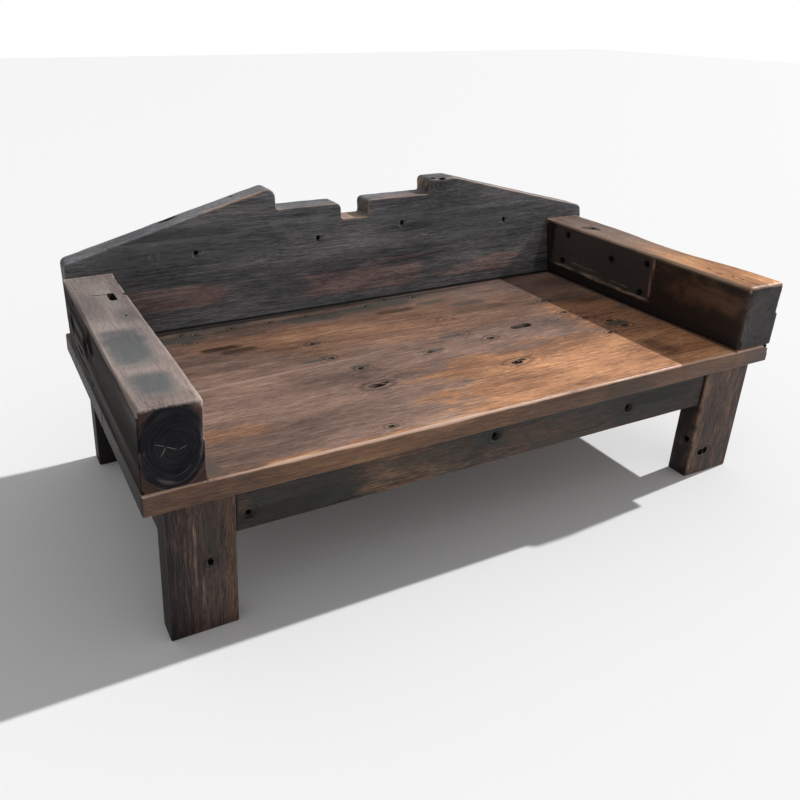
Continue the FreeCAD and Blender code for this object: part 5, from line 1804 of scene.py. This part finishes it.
FINISHES = {
    "seat": wood(
        "seat_oiled", "x", [(66, 52, 47), (108, 86, 76), (142, 114, 101), (180, 146, 127)],
        [(80, 52, 38), (130, 91, 66), (174, 125, 90), (214, 159, 116)], (222, 188, 168), (86, 82, 76),
        SEAT_END, gloss=0.42, cloudy=0.7, contrast=0.32, fine=0.5, rub=0.72, holes=marked(SEAT_HOLES),
        bump=0.0005, broken=0.42, tight=1.5),
    # The left arm's pale grey tones are a painted sky reflection, with its own shine turned off (sheen 0).
    "arm_left": wood(
        "beam_grey", "y", [(114, 105, 103), (144, 134, 132), (170, 160, 156), (198, 186, 180)],
        [(120, 100, 94), (156, 134, 124), (186, 160, 146), (216, 188, 168)], (196, 178, 168),
        (108, 112, 113), [(38, 39, 44), (70, 69, 74), (88, 68, 64)], gloss=0.5, cloudy=0.7, contrast=0.28,
        fine=0.34, rub=0.45, pith=(-0.834, 0.502), bump=0.0005, broken=0.25, tight=1.5, offset=6.0,
        sheen=0.0),
    "arm_right": wood(
        "beam_warm", "y", [(84, 67, 60), (123, 101, 89), (158, 130, 114), (190, 158, 138)],
        [(105, 66, 44), (162, 110, 72), (204, 144, 96), (236, 177, 124)], (206, 176, 152), (96, 93, 90),
        [(44, 40, 40), (90, 84, 82), (110, 88, 76)], gloss=0.45, cloudy=0.8, contrast=0.32, fine=0.5,
        rub=0.5, holes=marked(SPIKE_MARKS), pith=(0.83, 0.50), bump=0.0006, broken=0.4, tight=1.3,
        offset=9.0, sheen=0.25),
    "backrest": wood(
        "slab_grey", "x", [(54, 55, 58), (77, 77, 80), (103, 102, 105), (138, 136, 134)],
        [(80, 67, 67), (110, 92, 91), (142, 120, 115), (176, 150, 137)], (184, 150, 120), (90, 94, 94),
        [(46, 43, 42), (104, 96, 88), (120, 104, 90)], gloss=0.5, cloudy=0.7, contrast=0.6, fine=0.62,
        rub=0.4, holes=marked(SLAB_HOLES), pith=(-0.2, 0.5), bump=0.0005, broken=0.9, tight=1.8,
        offset=12.0, sheen=0.2),
    "apron": wood(
        "rail_dark", "x", RAIL, RAIL_WARM, (116, 96, 80), (50, 54, 52), SEAT_END, gloss=0.5, cloudy=0.8,
        contrast=0.6, fine=0.8, rub=0.4, holes=marked(RAIL_HOLES), offset=15.0, sheen=0.2),
    "apron_side": wood(
        "rail_side", "y", RAIL, RAIL_WARM, (116, 96, 80), (50, 54, 52), SEAT_END, gloss=0.5, cloudy=0.8,
        contrast=0.6, fine=0.8, rub=0.4, offset=21.0, sheen=0.2),
    "leg": wood(
        "post_dark", "z", [(32, 26, 26), (52, 42, 41), (72, 58, 54), (98, 80, 70)],
        [(44, 31, 27), (70, 51, 43), (94, 70, 57), (126, 96, 76)], (122, 96, 82), (54, 52, 49), SEAT_END,
        gloss=0.5, cloudy=0.7, contrast=0.65, fine=1.0, rub=0.4, holes=marked(LEG_HOLES), offset=18.0,
        sheen=0.2),
}


# %% Steel
def steel(name):
    """Dull steel with rust in its corners."""
    material = bpy.data.materials.new(name)
    b = empty_bench(material)
    spot = b.put("ShaderNodeTexCoord", {}, {}, output="Object")
    grime = b.put("ShaderNodeTexNoise", {}, {"Vector": spot, "Scale": 160.0, "Detail": 5.0})
    grain = b.put("ShaderNodeTexNoise", {}, {"Vector": spot, "Scale": 900.0, "Detail": 2.0})
    rust = (grime + (grain - 0.5) * 0.3).ramp(0.52, 0.66)
    colour = b.mix(rust, tone(120, 118, 116), tone(96, 60, 42))
    dull = 0.38 + rust * 0.4 + (grain - 0.5) * 0.2
    relief = {"Strength": 0.5, "Distance": 0.0003, "Height": grain + rust * 0.6}
    normal = b.put("ShaderNodeBump", {}, relief)
    looks = {"Base Color": colour, "Roughness": dull, "Metallic": 1 - rust, "Normal": normal}
    surface = b.put("ShaderNodeBsdfPrincipled", {}, looks)
    b.put("ShaderNodeOutputMaterial", {}, {"Surface": surface})
    return material


FINISHES["steel"] = steel("steel_dull")
print("finishes", ", ".join(FINISHES))

# %% [markdown]
# ## Hand each timber over to the frame
#
# Every piece takes the place of one node of the frame and rides on its only body. A table
# says which piece stands for which node, with which finish and which slot. Pegs and dowels
# can't be seen, so the frame's own ones stay and only get a finish.

# %% Finish and fasten every piece
TABLE = [(front_plank, "seat_board_front", "seat", "seat_timber"),
         (middle_plank, "seat_board_middle", "seat", "seat_timber"),
         (rear_plank, "seat_board_rear", "seat", "seat_timber"),
         (arm_left, "arm_left", "arm_left", "left_arm_timber"),
         (arm_right, "arm_right", "arm_right", "right_arm_timber"),
         (backrest, "backrest", "backrest", "backrest_timber")]
TABLE += [(piece, node, "leg", "leg_timber") for node, piece in legs.items()]
TABLE += [(aprons[node], node, "apron", "apron_timber") for node in ("apron_front", "apron_rear")]
TABLE += [(aprons[node], node, "apron_side", "apron_timber") for node in ("apron_left", "apron_right")]
TABLE += [(piece, node, "apron_side", "bearer_timber") for node, piece in bearers.items()]
TABLE += [(arm_bolts, "arm_bolts", "steel", "bolt_steel"),
          (back_bolts, "backrest_bolts", "steel", "bolt_steel"),
          (arm_washers, "arm_bolt_washers", "steel", "bolt_steel"),
          (back_washers, "backrest_bolt_washers", "steel", "bolt_steel"),
          (screws, "seat_screws", "steel", "bolt_steel")]
for piece, node, finish, slot_name in TABLE:
    piece.data.materials.clear()
    piece.data.materials.append(FINISHES[finish])
    for face in piece.data.polygons:
        face.material_index = 0
        face.use_smooth = finish != "steel"
    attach(piece, "root")
    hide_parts(node)

print("pieces fastened", len(TABLE))
bpy.data.materials.remove(RAW)
for node in ("frame_pegs", "seat_dowels", "backrest_foot_dowels"):
    for slot_holder in bpy.data.objects[node].material_slots:
        slot_holder.material = FINISHES["leg"]

# %% [markdown]
# ## Floor, light and camera
#
# A plain studio: a pale floor, one key light from the right and an even sky. The key is
# small, because the right arm throws a sharp shadow onto the seat. The sky is white only to
# the eye of the camera and dimmer as a light, so shaded sides stay dark, together with the
# shade painted onto them. The camera stands where the photograph was taken, to the left of
# the bench and above it.

# %% Studio
bpy.ops.mesh.primitive_plane_add(size=40, location=(0, 0, 0))
floor = bpy.context.object
floor.name = "studio_floor"
floor_material = bpy.data.materials.new("studio_floor")
b = empty_bench(floor_material)
matt = b.put("ShaderNodeBsdfPrincipled", {}, {"Base Color": (0.92, 0.92, 0.92, 1.0), "Roughness": 0.9})
b.put("ShaderNodeOutputMaterial", {}, {"Surface": matt})
floor.data.materials.append(floor_material)

world = bpy.data.worlds.new("studio")
bpy.context.scene.world = world
b = empty_bench(world)
seen = b.put("ShaderNodeLightPath", {}, {}, output="Is Camera Ray")
glow = b.put("ShaderNodeBackground", {}, {"Color": (1, 1, 1, 1), "Strength": seen * 0.6 + 0.4})
b.put("ShaderNodeOutputWorld", {}, {"Surface": glow})

sun = show("key", bpy.data.lights.new("key", "SUN"))
sun.data.energy = 3.0
sun.data.angle = math.radians(1.1)
SUN_HEIGHT = math.radians(40)
sun_way = Vector((-math.cos(SUN_HEIGHT), -0.05, -math.sin(SUN_HEIGHT)))
sun.rotation_euler = sun_way.to_track_quat("-Z", "Y").to_euler()

camera = show("camera", bpy.data.cameras.new("camera"))
camera.location = (-1.16124, -1.72110, 1.27965)
camera.rotation_euler = [math.radians(angle) for angle in (67.599, -0.5685, -25.1352)]
camera.data.sensor_width = 36.0
camera.data.lens = 34.908
camera.data.shift_x = 0.11631
camera.data.shift_y = -0.09261
camera.data.clip_end = 100
bpy.context.scene.camera = camera
bpy.context.scene.view_settings.view_transform = "Standard"
